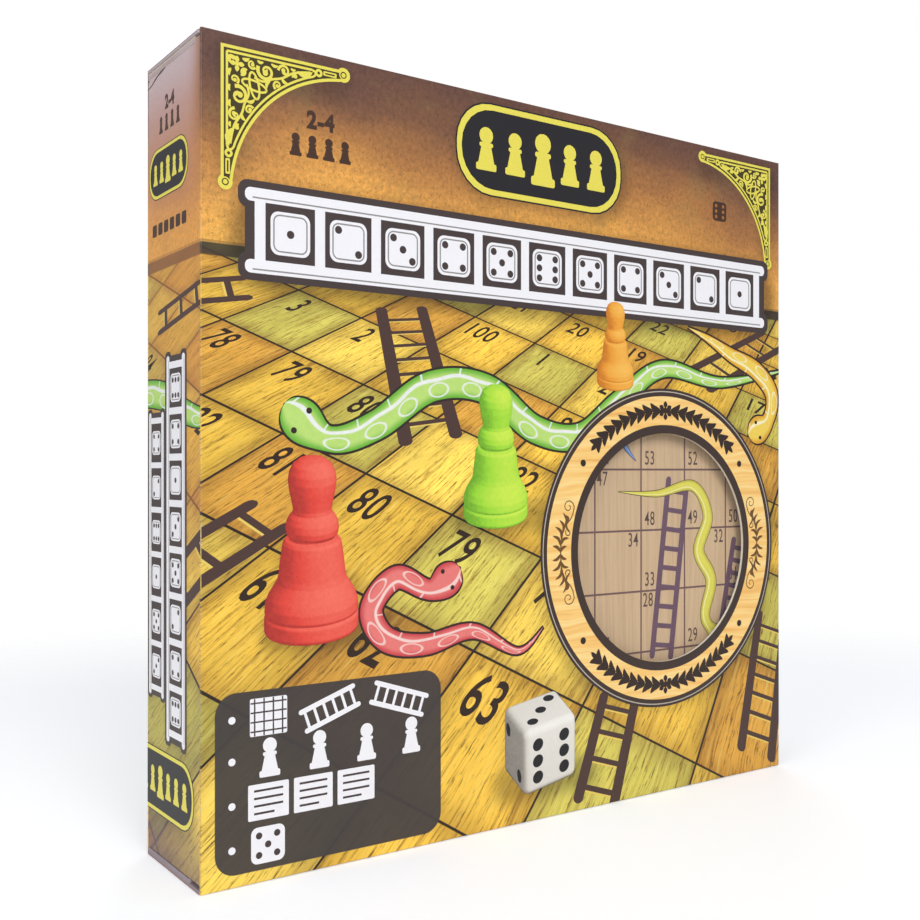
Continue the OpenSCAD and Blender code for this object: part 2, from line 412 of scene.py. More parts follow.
@dataclass(frozen=True)
class View:
    """The printed picture's own pinhole view of a game board that lies on a table."""

    focal: float = 300.0
    middle: Point = (128.0, 133.0)
    pitch: float = 34.0
    height: float = 96.0
    yaw: float = -33.0
    square: float = 25.0
    shift: Point = (0.35, 0.2)
    far_edge: float = 201.0

    def ground(self, across: float, up: float) -> Point:
        """Where a picture point lies on the table, in squares of the board.

        Args:
            across: picture place to the right.
            up: picture place upwards.

        Returns:
            The board's two coordinates.
        """
        c, s = cos_sin(self.pitch)
        px, pz = across - self.middle[0], up - self.middle[1]
        reach = self.height / (s - c * pz / self.focal)
        return self._turn(reach * px / self.focal, reach * (c + s * pz / self.focal))

    def _turn(self, gx: float, gy: float) -> Point:
        """Table millimetres to squares of the turned board."""
        c, s = cos_sin(self.yaw)
        return ((gx * c + gy * s) / self.square + self.shift[0], (gy * c - gx * s) / self.square + self.shift[1])

    def table(self, u: float, v: float) -> Point:
        """Squares of the turned board to table millimetres.

        Args:
            u: the board's first coordinate, in squares.
            v: its second coordinate.

        Returns:
            Place across and away on the table.
        """
        c, s = cos_sin(self.yaw)
        a, b = (u - self.shift[0]) * self.square, (v - self.shift[1]) * self.square
        return a * c - b * s, a * s + b * c

    def seen(self, point: Vector) -> Triple:
        """Where a point over the table lies in the picture.

        Args:
            point: table millimetres, its third value the height.

        Returns:
            Picture across and up, and the distance from the eye.
        """
        c, s = cos_sin(self.pitch)
        drop = point.z - self.height
        depth = point.y * c - drop * s
        return (self.middle[0] + self.focal * point.x / depth,
                self.middle[1] + self.focal * (point.y * s + drop * c) / depth, depth)

    def flat(self, u: float, v: float) -> Point:
        """A point of the board, in squares, as it is seen in the picture.

        Args:
            u: the board's first coordinate, in squares.
            v: its second coordinate.

        Returns:
            Picture across and up.
        """
        gx, gy = self.table(u, v)
        across, up, _ = self.seen(Vector((gx, gy, 0)))
        return across, up

    def signals(self, across: Signal, up: Signal) -> Tuple[Signal, Signal]:
        """The same as ground, as shader maths.

        Args:
            across: picture place to the right.
            up: picture place upwards.

        Returns:
            The board's two coordinates.
        """
        c, s = cos_sin(self.pitch)
        px, pz = (across - self.middle[0]) / self.focal, (up - self.middle[1]) / self.focal
        reach = self.height / (s - pz * c)
        gx, gy = reach * px, reach * (pz * s + c)
        cy, sy = (value / self.square for value in cos_sin(self.yaw))
        return gx * cy + gy * sy + self.shift[0], gy * cy - gx * sy + self.shift[1]


VIEW = View()


def close_view(foot: Point, scale: float, pitch: float, height: float = 400.0) -> View:
    """A distant, level view of one thing that stands at a picture point, drawn at a scale."""
    return View(scale * height / math.sin(math.radians(pitch)), foot, pitch, height, 0.0)


class Side(Enum):
    """A printed panel's outward direction."""

    FRONT = (0, -1, 0)
    SPINE = (-1, 0, 0)
    RIGHT = (1, 0, 0)
    BACK = (0, 1, 0)
    TOP = (0, 0, 1)


class Layer(float, Enum):
    """How far a layer of ink stands over the card or the game board, in millimetres."""

    NUMBERS = 0.012
    RUNG_LIGHTS = 0.019
    BOARD_LINES = 0.02
    LADDERS = 0.027
    MARKS = 0.03
    SIDE_SNAKES = 0.034
    SNAKES = 0.038
    PLATES = 0.04
    BOARD_LADDERS = 0.045
    PLAQUES = 0.05
    FIGURES_DARK = 0.055
    UPPER_SNAKE = 0.056
    GOLD = 0.058
    FRIEZES = 0.06
    PANEL_WHITE = 0.065
    RINGS = 0.07
    PANEL_DARK = 0.078
    RING_WOOD = 0.08
    RING_LINE = 0.085
    RING_LEAVES = 0.09
    PAWNS = 0.092
    DIE = 0.11


class Step(float, Enum):
    """How far the later inks of one picture stand over its first, in millimetres."""

    PLAQUE = 0.01
    FIRST = 0.012
    SECOND = 0.02
    THIRD = 0.028


@dataclass(frozen=True)
class Carton:
    """The carton's own sizes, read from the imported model."""

    left: float
    right: float
    front: float
    back: float
    height: float
    window: Point
    window_r: float
    board_front: float

    @classmethod
    def measure(cls) -> "Carton":
        """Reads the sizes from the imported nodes.

        Returns:
            The carton's sizes.
        """
        low, high = (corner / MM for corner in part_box("front_panel"))
        film_low, film_high = (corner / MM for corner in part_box("window_film"))
        return cls(left=low.x, right=high.x, front=low.y, back=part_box("back_panel")[1].y / MM, height=high.z,
                   window=((film_low.x + film_high.x) / 2 - low.x, (film_low.z + film_high.z) / 2),
                   window_r=(film_high.x - film_low.x) / 2 - FILM_OVERLAP,
                   board_front=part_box("game_board")[0].y / MM)

    @staticmethod
    def _face(side: Side, x: float, y: float, z: float) -> Matrix:
        """Picture millimetres of a face to metres of the row frame; the picture starts at a point.

        Args:
            side: which way the face looks.
            x: where the picture starts along X.
            y: the same along Y.
            z: the same along Z.

        Returns:
            The matrix from the picture to the row frame.
        """
        out, up = Vector(side.value), Vector((0, 1, 0) if side is Side.TOP else (0, 0, 1))
        turn = Matrix((up.cross(out), up, out)).transposed().to_4x4()
        return Matrix.Scale(MM, 4) @ Matrix.Translation((x, y, z)) @ turn

    def plane(self, side: Side) -> Matrix:
        """The place of a printed face; a picture point's third value is its height over the card.

        Args:
            side: the face.

        Returns:
            The matrix from the picture to the row frame.
        """
        x = self.right if side in (Side.RIGHT, Side.BACK) else self.left
        y = {Side.RIGHT: self.front - (self.right - self.left), Side.BACK: self.back}.get(side, self.front)
        z = self.height if side is Side.TOP else 0.0
        return self._face(side, *(value - way * CARD_INSET for value, way in zip((x, y, z), side.value)))

    def board_plane(self) -> Matrix:
        """The same for the game board's face."""
        return self._face(Side.FRONT, self.left, self.board_front, 0.0)


CARTON = Carton.measure()


@dataclass(frozen=True)
class GroundPrint(Finish):
    """The carton's printed ground: a brown table above, and below it a large wooden board in squares."""

    side: Side = Side.FRONT
    shadows: Tuple[Shadow, ...] = ()
    # The dark panel's middle across and up, width and height
    panel: Optional[Tuple[float, float, float, float]] = None

    def dress(self, brew: Brew) -> None:
        """Table, squares, lines, soft shadows, the dark panel and the worn edges, with a painted highlight along the
        folds; the narrow sides also get a painted sheen and glare.

        Args:
            brew: the material under work.
        """
        x, y, z = brew.place()
        across = {Side.FRONT: x - CARTON.left, Side.SPINE: CARTON.front - y, Side.BACK: CARTON.right - x,
                  Side.RIGHT: y - CARTON.front + (CARTON.right - CARTON.left)}[self.side]
        colour = brew.mix(z.fade(VIEW.far_edge - 0.4, VIEW.far_edge + 0.4), self.squares(brew, across, z),
                          self.table(brew, across, z))
        rim = abs(z - (VIEW.far_edge - 1.9)).fade(2.3, 1.7)
        colour = brew.mix(rim * 0.93, colour, (58, 46, 36))
        colour = brew.mix(abs(z - (VIEW.far_edge + 0.55)).fade(0.45, 0.2) * 0.6, colour, (150, 104, 52))
        if self.panel:
            cx, cz, w, h = self.panel
            inside = self.box_distance(across, z, cx, cz, w / 2, h / 2, 7).fade(0.15, -0.15)
            colour = brew.mix(inside * 0.978, colour, (62, 57, 57))
        for cx, cz, w, h, depth in self.shadows:
            near = self.box_distance(across, z, cx, cz, w / 2, h / 2, min(w, h) * 0.45)
            colour = brew.dim(colour, 1 - near.fade(5.5, -3.5) * depth)
        wear_and_sheen_noise = brew.grain((0.7, 0.7, 0.7), 5.0, 0.7)
        top = (z + wear_and_sheen_noise * 2.0).fade(CARTON.height + 0.75, CARTON.height + 1.5)
        wide = self.side in (Side.FRONT, Side.BACK)
        fold = across.low((CARTON.right - CARTON.left) - across) if wide else abs(y - CARTON.front)
        patch = brew.grain((0.09, 0.09, 0.06), 4.0, 0.7).fade(0.5, 0.68)
        # Whitish worn print along the top edge; along the folds the light line is partly worn print and partly a
        # painted highlight.
        wear_and_fold_highlight = (top * 0.6).high((fold - wear_and_sheen_noise * 1.2).fade(0.1, -0.5) * (0.06 + patch * 0.4))
        colour = brew.mix(wear_and_fold_highlight, colour, (206, 196, 186))
        # The narrow sides get a painted sheen and glare over their print.
        if not wide:
            colour = self.side_print_sheen_and_glare(brew, colour, y, z, (wear_and_sheen_noise - 0.5) * 0.5)
        brew.gloss(Base_Color=colour, Roughness=0.4 + wear_and_sheen_noise * 0.1, Specular_IOR_Level=0.42, Coat_Weight=0.12,
                   Coat_Roughness=0.28)
        brew.bump(brew.grain((0.55, 0.55, 0.55), 3.0), 0.03)

    @staticmethod
    def side_print_sheen_and_glare(brew: Brew, colour: Signal, y: Signal, z: Signal, cloud: Signal) -> Signal:
        """The narrow sides' tones: printed orange halfway up, a painted sheen from rose to lilac towards the top, and a
        dull grey-plum painted glare at the foot.

        Args:
            brew: the material under work.
            colour: the ground so far.
            y: place along the side.
            z: height.
            cloud: soft noise around zero.

        Returns:
            The ground with its printed orange, painted sheen and painted glare.
        """
        away = abs(y - CARTON.front).fade(-2.0, 13.0)
        colour = brew.mix(z.fade(70, 120) * 0.34, colour, (222, 140, 66))
        # Painted sheen: rose to lilac bands towards the top, weaker near the front fold.
        for low, high, depth, sheen_tint in ((206, 232, 0.6, (208, 150, 120)), (228, 254, 0.7, (200, 166, 166)),
                                       (246, 264, 0.76, (206, 190, 196))):
            colour = brew.mix(z.fade(low, high) * (depth + cloud) * away, colour, sheen_tint)
        # Painted glare: a dull grey-plum towards the foot.
        return brew.mix(z.fade(26, 2) * (0.72 + cloud), colour, (112, 88, 92))

    @staticmethod
    def box_distance(x: Signal, z: Signal, cx: float, cz: float, w: float, h: float, r: float) -> Signal:
        """Distance from a rounded box, less than zero inside it; w and h are half its sides.

        Args:
            x: place across.
            z: place up.
            cx: the box's middle across.
            cz: its middle up.
            w: half its width.
            h: half its height.
            r: the radius of its corners.

        Returns:
            The distance in millimetres.
        """
        dx = (abs(x - cx) - (w - r)).high(0.0)
        dz = (abs(z - cz) - (h - r)).high(0.0)
        return (dx * dx + dz * dz) ** 0.5 - r

    @staticmethod
    def table(brew: Brew, across: Signal, up: Signal) -> Signal:
        """The brown ground over the board, from gold to plum, blotched and rubbed.

        Args:
            brew: the material under work.
            across: picture place to the right.
            up: picture place upwards.

        Returns:
            Its colour.
        """
        cloud = brew.noise(across * 0.016, up * 0.03, 3.0, 4.0, 0.55)
        sides = abs(across - 122).fade(86, 136)
        level = (up - VIEW.far_edge) / (CARTON.height - VIEW.far_edge) + (cloud - 0.5) * 0.5 + sides * 0.16
        colour = brew.ramp(level, (0.0, (240, 182, 80)), (0.34, (228, 164, 78)), (0.58, (174, 118, 64)),
                           (0.8, (122, 82, 58)), (1.0, (98, 66, 56)))
        speck = brew.noise(across * 0.62, up * 0.5, 7.0, 6.0, 0.82)
        rub = brew.noise(across * 1.1, up * 0.22, 11.0, 4.0, 0.75)
        drag = brew.noise(across * 0.16, up * 0.9, 13.0, 4.0, 0.75)
        pit = brew.noise(across * 0.85, up * 0.6, 17.0, 4.0, 0.75)
        blush = brew.noise(across * 0.05, up * 0.05, 23.0, 3.0, 0.6)
        colour = brew.dim(colour, 1.06 + (speck - 0.5) * 1.9 + (rub - 0.5) * 0.24 + (drag - 0.5) * 0.14)
        colour = brew.mix(blush.fade(0.5, 0.66) * 0.22, colour, (150, 128, 76))
        return brew.mix(pit.fade(0.55, 0.67) * 0.55, colour, (88, 50, 34))

    @staticmethod
    def squares(brew: Brew, across: Signal, up: Signal) -> Signal:
        """The board's squares in perspective: gold, orange and olive wood with brushed grain and dark lines.

        Args:
            brew: the material under work.
            across: picture place to the right.
            up: picture place upwards.

        Returns:
            Their colour.
        """
        u, v = VIEW.signals(across, up)
        fu, fv = u.floor(), v.floor()
        turn = (fu + fv * 2).cycle(5)
        colour = brew.mix(abs(turn - 1).fade(0.5, 0.3), (244, 198, 72), (228, 170, 66))
        colour = brew.mix(abs(turn - 3).fade(0.5, 0.3), colour, (212, 200, 92))
        colour = brew.mix(abs(turn - 4).fade(0.5, 0.3), colour, (252, 216, 92))
        seed = (fu * 3.7 + fv * 5.3).fraction() * 20
        tone = (fu * 0.37 + fv * 0.61).fraction() - 0.5
        sway = brew.noise(u * 0.7, v * 1.6, seed, 2.0)
        broad = brew.noise(u * 6.0 + sway * 2, v * 0.8 + seed, seed, 3.0, 0.6)
        glow = brew.noise(u * 1.7, v * 1.3, seed + 2, 2.0)
        streak = brew.noise(u * 44.0 + sway * 4, v * 1.5, seed + 4, 5.0, 0.64)
        fleck = brew.noise(u * 70.0 + sway * 6, v * 8.0, seed + 8, 4.0, 0.7)
        colour = brew.dim(colour, 1.1 + (broad - 0.5) * 0.7 + tone * 0.22 + (glow - 0.5) * 0.9)
        colour = brew.mix(streak.fade(0.5, 0.62) * 0.5, colour, (150, 96, 30))
        colour = brew.mix(fleck.fade(0.53, 0.63) * (0.25 + streak.fade(0.42, 0.56) * 0.55), colour, (86, 52, 20))
        colour = brew.mix(streak.fade(0.44, 0.3) * 0.5, colour, (255, 236, 140))
        eu, ev = u.fraction(), v.fraction()
        edge = eu.low(1 - eu).low(ev.low(1 - ev))
        colour = brew.mix(edge.fade(0.2, 0.0) * (0.2 + streak * 0.4), colour, (122, 74, 26))
        colour = brew.mix((edge - up * 0.00004).fade(0.0095, 0.005), colour, (42, 27, 19))
        return brew.dim(colour, 1.03 - abs(across - 128) * 0.0012)


@dataclass(frozen=True)
class PlainPrint(Finish):
    """Mottled brown print on one face of a panel, bare board on the others.

    The print starts and ends along one axis, on a plane that can lean with the height.
    """

    axis: int
    start: float
    end: float
    low: Colour = (190, 118, 50)
    high: Colour = (88, 62, 56)
    whole: bool = False
    pulp: Colour = (214, 208, 198)
    lean: float = 0.0

    def dress(self, brew: Brew) -> None:
        """Gradient up the carton with blotches, and pulp where the print ends.

        Args:
            brew: the material under work.
        """
        at = brew.place()
        cloud = brew.grain((0.02, 0.02, 0.03), 4.0, 0.6)
        speck = brew.grain((0.9, 0.9, 0.9), 5.0, 0.75)
        level = 1.0 if self.whole else (at[2] - 60) / 200
        ground = brew.ramp((cloud - 0.5) * 0.8 + level, (0.0, self.low), (0.6, (140, 86, 48)), (1.0, self.high))
        fibre = brew.grain((1.6, 1.6, 0.5), 4.0, 0.7)
        depth = at[self.axis] + (at[2] - CARTON.height) * self.lean
        printed = depth.fade(self.start, self.end)
        colour = brew.mix(printed, brew.dim(self.pulp, 0.9 + fibre * 0.16), brew.dim(ground, 0.84 + speck * 0.32))
        brew.gloss(Base_Color=colour, Roughness=0.85 - printed * 0.43, Specular_IOR_Level=0.38)
        brew.bump(brew.grain((0.55, 0.55, 0.55), 3.0), 0.03)


@dataclass(frozen=True)
class BoardWood(Finish):
    """Pale tan plywood with fine upright grain and darker plies at its edge."""

    colour: Colour = (216, 186, 148)
    dark: Colour = (188, 154, 118)

    def dress(self, brew: Brew) -> None:
        """Grain along the board's height, plies across its thickness.

        Args:
            brew: the material under work.
        """
        x, y, z = brew.place()
        wave = brew.grain((0.03, 0.2, 0.006)) * 9
        grain = brew.noise(x * 0.8 + wave, y * 0.4, z * 0.02, 4.0, 0.65)
        pore = brew.grain((4.0, 1.0, 0.09), 3.0, 0.6)
        colour = brew.mix(grain.fade(0.35, 0.75) * 0.55, self.colour, self.dark)
        colour = brew.dim(colour, 1 - pore.fade(0.56, 0.72) * 0.13)
        inner = y.fade(CARTON.board_front + 0.02, CARTON.board_front + 0.1)
        ply = abs((y - CARTON.board_front - 2.5) / 1.7).fade(0.42, 0.5)
        colour = brew.mix(inner * (1 - ply) * 0.45, colour, (150, 108, 74))
        brew.gloss(Base_Color=colour, Roughness=0.55 + grain * 0.12, Specular_IOR_Level=0.35)
        brew.bump(pore, 0.02)


@dataclass(frozen=True)
class RingWood(Finish):
    """The printed ring's light wood, with grain lying across."""

    def dress(self, brew: Brew) -> None:
        """Long bands of warm light wood.

        Args:
            brew: the material under work.
        """
        x, _, z = brew.place()
        sway = brew.grain((0.02, 0.02, 0.05)) * 5
        band = brew.noise(x * 0.012, 2.0, z * 0.42 + sway, 4.0, 0.62)
        hair = brew.noise(x * 0.06, 5.0, z * 2.6, 3.0, 0.6)
        colour = brew.ramp(band, (0.25, (232, 172, 90)), (0.45, (250, 202, 120)), (0.62, (255, 222, 150)),
                           (0.8, (242, 186, 102)))
        brew.satin(brew.dim(colour, 1.04 - hair.fade(0.52, 0.7) * 0.12))


@dataclass(frozen=True)
class PaintedWood(Finish):
    """Turned wood under matt paint: faint turning rings, brush drag and thin spots."""

    colour: Colour

    def dress(self, brew: Brew) -> None:
        """Rings by height, with soft blotches.

        Args:
            brew: the material under work.
        """
        ring = brew.grain((0.05, 0.05, 3.2), 3.0, 0.6)
        blot = brew.grain((0.35, 0.35, 0.35), 4.0, 0.6)
        brew.gloss(Base_Color=brew.dim(self.colour, 0.86 + blot * 0.24), Roughness=0.6 + ring * 0.15,
                   Specular_IOR_Level=0.3)
        brew.bump(ring + blot * 0.5, 0.05)


@dataclass(frozen=True)
class FormPrint(Finish):
    """A thing pictured in the print, shaded by the tone that its mesh carries."""

    dark: Colour
    middle: Colour
    light: Colour
    grain: float = 0.3

    def dress(self, brew: Brew) -> None:
        """Tone through three colours, with a little roughness of the pictured paint.

        Args:
            brew: the material under work.
        """
        x, y, z = brew.place()
        nap = brew.grain((0.8, 1.0, 0.8), 4.0, 0.65)
        scratch = brew.noise(x * 2.4 + z * 1.2, y, z * 0.5, 3.0, 0.6)
        tone = brew.attribute("tone") + (nap - 0.5) * self.grain + (scratch - 0.5) * self.grain * 0.5
        brew.satin(brew.ramp(tone, (0.08, self.dark), (0.5, self.middle), (0.95, self.light)))


@dataclass(frozen=True)
class SnakePrint(Finish):
    """A snake's printed body: a pale back line and rings along it, darker towards its edges.

    The last value is the length from ring to ring.
    """

    body: Colour
    edge: Colour
    pale: Colour
    rings: float = 15.0

    def dress(self, brew: Brew) -> None:
        """Pattern by the mesh's own length and width values.

        Args:
            brew: the material under work.
        """
        along, aside = brew.attribute("along"), brew.attribute("aside")
        nap = brew.grain((0.7, 1.0, 0.7), 3.0)
        colour = brew.mix(abs(aside).fade(0.4, 1.0), self.body, self.edge)
        turn = along * (1 / self.rings)
        cell = turn.fraction() - 0.5
        wide, tall = cell * (self.rings / 4.2), (aside + 0.34) * 2.2
        ring = (wide * wide + tall * tall) ** 0.5
        colour = brew.mix(abs(ring - 1).fade(0.16, 0.07) * along.fade(13, 16) * 0.75, colour, self.pale)
        rib = abs((turn + 0.42).fraction() - 0.5 - aside * 0.08) * self.rings
        colour = brew.mix(rib.fade(0.5, 0.25) * aside.fade(0.4, 0.5) * 0.75, colour, self.pale)
        stripe = abs(aside - 0.42 - (along * 0.35).sine() * 0.08).fade(0.17, 0.08)
        colour = brew.mix(stripe * 0.92, colour, self.pale)
        brew.satin(brew.dim(colour, 0.92 + nap * 0.16))


@dataclass(frozen=True)
class DiePlastic(Finish):
    """Glossy white plastic with dark grey paint in the pips."""

    def dress(self, brew: Brew) -> None:
        """White, and dark where the surface dips under a face.

        Args:
            brew: the material under work.
        """
        low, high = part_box("die")
        middle, half = (low + high) / 2 / MM, (high.x - low.x) / 2 / MM
        at = [abs(value - centre) for value, centre in zip(brew.place(), middle)]
        dips = []
        for i in range(3):
            under = at[i].fade(half - 0.7, half - 0.68) * at[i].fade(half - 0.015, half - 0.03)
            dips.append(under * at[(i + 1) % 3].high(at[(i + 2) % 3]).fade(6.15, 6.05))
        dip = dips[0].high(dips[1]).high(dips[2])
        brew.gloss(Base_Color=brew.mix(dip, (238, 238, 232), (42, 42, 46)), Roughness=0.16 + dip * 0.3,
                   Specular_IOR_Level=0.55, Coat_Weight=0.4, Coat_Roughness=0.06)


@dataclass(frozen=True)
class ClearFilm(Finish):
    """Clear glossy film that hazes what lies behind it a little."""

    def dress(self, brew: Brew) -> None:
        """Almost see-through, with soft waves that bend its reflections.

        Args:
            brew: the material under work.
        """
        wave = brew.grain((0.02, 1.0, 0.02), 1.0)
        brew.gloss(Base_Color=(206, 208, 212), Roughness=0.05, IOR=1.45, Alpha=0.02 + wave * 0.015)
        brew.bump(wave, 0.4)


@dataclass(frozen=True)
class Paper(Finish):
    """Thin off-white paper."""

    def dress(self, brew: Brew) -> None:
        """Faint cloudiness and tooth.

        Args:
            brew: the material under work.
        """
        cloud = brew.grain((0.3, 0.3, 0.3), 4.0, 0.6)
        brew.gloss(Base_Color=brew.dim((242, 240, 232), 0.94 + cloud * 0.1), Roughness=0.8, Specular_IOR_Level=0.25)
        brew.bump(cloud, 0.02)


INK_DARK = Ink("ink_dark_brown", (52, 38, 34))
INK_NUMBER = Ink("ink_number", (50, 34, 26))
INK_LADDER = Ink("ink_ladder", (78, 56, 52))
INK_LADDER_LIT = Ink("ink_ladder_light", (236, 206, 104))
INK_WHITE = Ink("ink_white", (246, 246, 252), 0.03)
INK_GREY = Ink("ink_grey_line", (150, 146, 146), 0.05)
INK_OUTLINE = Ink("ink_outline", (70, 58, 58))
INK_GOLD = Ink("ink_gold", (236, 224, 92), 0.08)
INK_OLIVE = Ink("ink_olive", (66, 56, 24), 0.15)
INK_BLACK = Ink("ink_black", (34, 32, 38), 0.1)
INK_SCROLL = Ink("ink_scroll", (112, 78, 44), 0.2)
INK_MARKS = Ink("ink_small_marks", (70, 46, 34))
RAW_EDGE = RawBoard("raw_board_edge", (216, 212, 204), (180, 172, 160))


# Shapes

class Track:
    """A smooth line through a few points, measured along its length."""

    def __init__(self, points: Sequence[Point], steps: int = 12) -> None:
        """Samples a spline through the points.

        Args:
            points: the points.
            steps: how many pieces lie between two of them.
        """
        pts = [Vector(p) for p in points]
        last = len(pts) - 1
        self.dots: List[Vector] = []
        for i in range(last):
            a, b, c, d = pts[max(i - 1, 0)], pts[i], pts[i + 1], pts[min(i + 2, last)]
            for k in range(steps):
                t = k / steps
                self.dots.append(0.5 * (2 * b + (c - a) * t + (2 * a - 5 * b + 4 * c - d) * t * t
                                        + (3 * b - a - 3 * c + d) * t ** 3))
        self.dots.append(pts[-1])
        self.marks = [0.0]
        for p, q in zip(self.dots, self.dots[1:]):
            self.marks.append(self.marks[-1] + (q - p).length)

    @property
    def length(self) -> float:
        """The line's whole length."""
        return self.marks[-1]

    def at(self, share: float) -> Vector:
        """The point at a share of the length.

        Args:
            share: the share, from 0 to 1.

        Returns:
            The point.
        """
        want = min(max(share, 0.0), 1.0) * self.length
        low, high = 0, len(self.marks) - 1
        while high - low > 1:
            mid = (low + high) // 2
            low, high = (mid, high) if self.marks[mid] <= want else (low, mid)
        span = self.marks[high] - self.marks[low]
        return self.dots[low].lerp(self.dots[high], (want - self.marks[low]) / span if span else 0.0)

    def side(self, share: float) -> Vector:
        """The unit vector to the left of the line there."""
        way = self.at(share + 0.004) - self.at(share - 0.004)
        return Vector((-way.y, way.x)).normalized()


def round_box(centre: Point, width: float, height: float, radius: float) -> List[Point]:
    """Points round a rectangle with rounded corners.

    Args:
        centre: the rectangle's middle.
        width: its width.
        height: its height.
        radius: the radius of its corners.

    Returns:
        The points, anticlockwise.
    """
    points: List[Point] = []
    for k, (i, j) in enumerate(((1, 1), (-1, 1), (-1, -1), (1, -1))):
        middle = (centre[0] + i * (width / 2 - radius), centre[1] + j * (height / 2 - radius))
        points += arc_points(middle, radius, 90 * k, 90 * k + 90, 5)
    return points


def arc_points(centre: Point, radius: float, start: float, end: float, steps: int) -> List[Point]:
    """Points along an arc, its angles in degrees."""
    turns = [cos_sin(start + (end - start) * i / steps) for i in range(steps + 1)]
    return [(centre[0] + radius * c, centre[1] + radius * s) for c, s in turns]


class Sketch:
    """Flat printed shapes that share one ink, drawn in picture millimetres."""

    # Height of the typeface's figures, as a share of its size
    FIGURE_SHARE: ClassVar[float] = 0.72

    def __init__(self, name: str, place: Optional[Place] = None) -> None:
        """Starts an empty sketch; place carries every point from where it is drawn to the picture.

        Args:
            name: the piece's name.
            place: gives a drawn point its place in the picture.
        """
        self.name = name
        self.place = place
        self.bm = bmesh.new()
        self.along = self.bm.verts.layers.float.new("along")
        self.aside = self.bm.verts.layers.float.new("aside")
        self.boxes: List[Tuple[int, float, float, float, float]] = []

    def _put(self, verts: Iterable[bmesh.types.BMVert], move: Callable[[Vector], Point]) -> "Sketch":
        """Moves a new shape's points to where they are drawn, and turns its faces up.

        Shapes that overlap lie a hair's breadth apart, like inks printed one over another.

        Args:
            verts: the shape's points.
            move: gives each point its place.

        Returns:
            The sketch itself.
        """
        verts = list(verts)
        for v in verts:
            x, y = move(v.co)
            if self.place:
                x, y = self.place(x, y)
            v.co = Vector((x, y, 0))
        low, high = min(v.co.x for v in verts), max(v.co.x for v in verts)
        bottom, top = min(v.co.y for v in verts), max(v.co.y for v in verts)
        taken = {step for step, a, b, c, d in self.boxes if a < high and b > low and c < top and d > bottom}
        step = next(i for i in range(len(taken) + 1) if i not in taken)
        self.boxes.append((step, low, high, bottom, top))
        bmesh.ops.translate(self.bm, verts=verts, vec=(0, 0, step * INK_STEP))
        faces = {f for v in verts for f in v.link_faces}
        for f in faces:
            f.normal_update()
        bmesh.ops.reverse_faces(self.bm, faces=[f for f in faces if f.normal.z < 0])
        return self

    def _put_new(self, before: Set[bmesh.types.BMVert], move: Callable[[Vector], Point]) -> "Sketch":
        """The same for all points that weren't there before."""
        return self._put([v for v in self.bm.verts if v not in before], move)

    def ribbon(self, track: Track, width: Union[float, Callable[[float], float]], steps: int,
               crowd: float = 1.0) -> "Sketch":
        """Adds a band along a track.

        Args:
            track: the line that it follows.
            width: its width, or the width at each share of the length.
            steps: how many pieces it has.
            crowd: over 1 its pieces get shorter towards the start.

        Returns:
            The sketch itself.
        """
        wide = width if callable(width) else (lambda share: width)
        made = bmesh.ops.create_grid(self.bm, x_segments=steps, y_segments=2, size=1)["verts"]
        for v in made:
            v.co.x = max(0.0, (v.co.x + 1) / 2) ** crowd
            v[self.along], v[self.aside] = v.co.x * track.length, v.co.y

        def move(co: Vector) -> Point:
            """Grid place to the band."""
            p = track.at(co.x) + track.side(co.x) * (co.y * wide(co.x) / 2)
            return p.x, p.y
        return self._put(made, move)

    def line(self, points: Sequence[Point], width: float) -> "Sketch":
        """Adds straight bars from point to point, with square ends.

        Args:
            points: the points.
            width: the bars' width.

        Returns:
            The sketch itself.
        """
        for a, b in zip(points, points[1:]):
            start, end = Vector(a), Vector(b)
            side = Vector((start.y - end.y, end.x - start.x)).normalized() * (width / 2)
            pieces = 6 if self.place else 1
            made = bmesh.ops.create_grid(self.bm, x_segments=pieces, y_segments=1, size=1)["verts"]

            def move(co: Vector, start: Vector = start, end: Vector = end, side: Vector = side) -> Point:
                """Grid place to the bar."""
                p = start.lerp(end, (co.x + 1) / 2) + side * co.y
                return p.x, p.y
            self._put(made, move)
        return self

    def disc(self, centre: Point, radius: float, hole: float = 0.0, flat: float = 1.0, segments: int = 0) -> "Sketch":
        """Adds a disc, or a ring where hole is its inner radius; flat squeezes it upwards.

        Args:
            centre: its middle.
            radius: its radius.
            hole: a ring's inner radius.
            flat: its height to its width.
            segments: how many sides it has; 0 chooses by its radius.

        Returns:
            The sketch itself.
        """
        segments = segments or max(12, min(128, int(radius * 5)))
        before = set(self.bm.verts)
        outer = bmesh.ops.create_circle(self.bm, cap_ends=hole == 0, segments=segments, radius=radius)["verts"]
        if hole:
            inner = bmesh.ops.create_circle(self.bm, cap_ends=False, segments=segments, radius=hole)["verts"]
            rims = {e for v in [*outer, *inner] for e in v.link_edges}
            bmesh.ops.bridge_loops(self.bm, edges=list(rims))
        return self._put_new(before, lambda co: (centre[0] + co.x, centre[1] + co.y * flat))

    def plate(self, centre: Point, width: float, height: float, radius: float = 0.0) -> "Sketch":
        """Adds a rectangle with rounded corners.

        Args:
            centre: its middle.
            width: its width.
            height: its height.
            radius: the radius of its corners.

        Returns:
            The sketch itself.
        """
        before = set(self.bm.verts)
        made = bmesh.ops.create_grid(self.bm, x_segments=1, y_segments=1, size=0.5)["verts"]
        for v in made:
            v.co.x, v.co.y = v.co.x * width, v.co.y * height
        if radius:
            bmesh.ops.bevel(self.bm, geom=made, offset=radius, segments=6, profile=0.5, affect="VERTICES",
                            material=-1)
        return self._put_new(before, lambda co: (centre[0] + co.x, centre[1] + co.y))

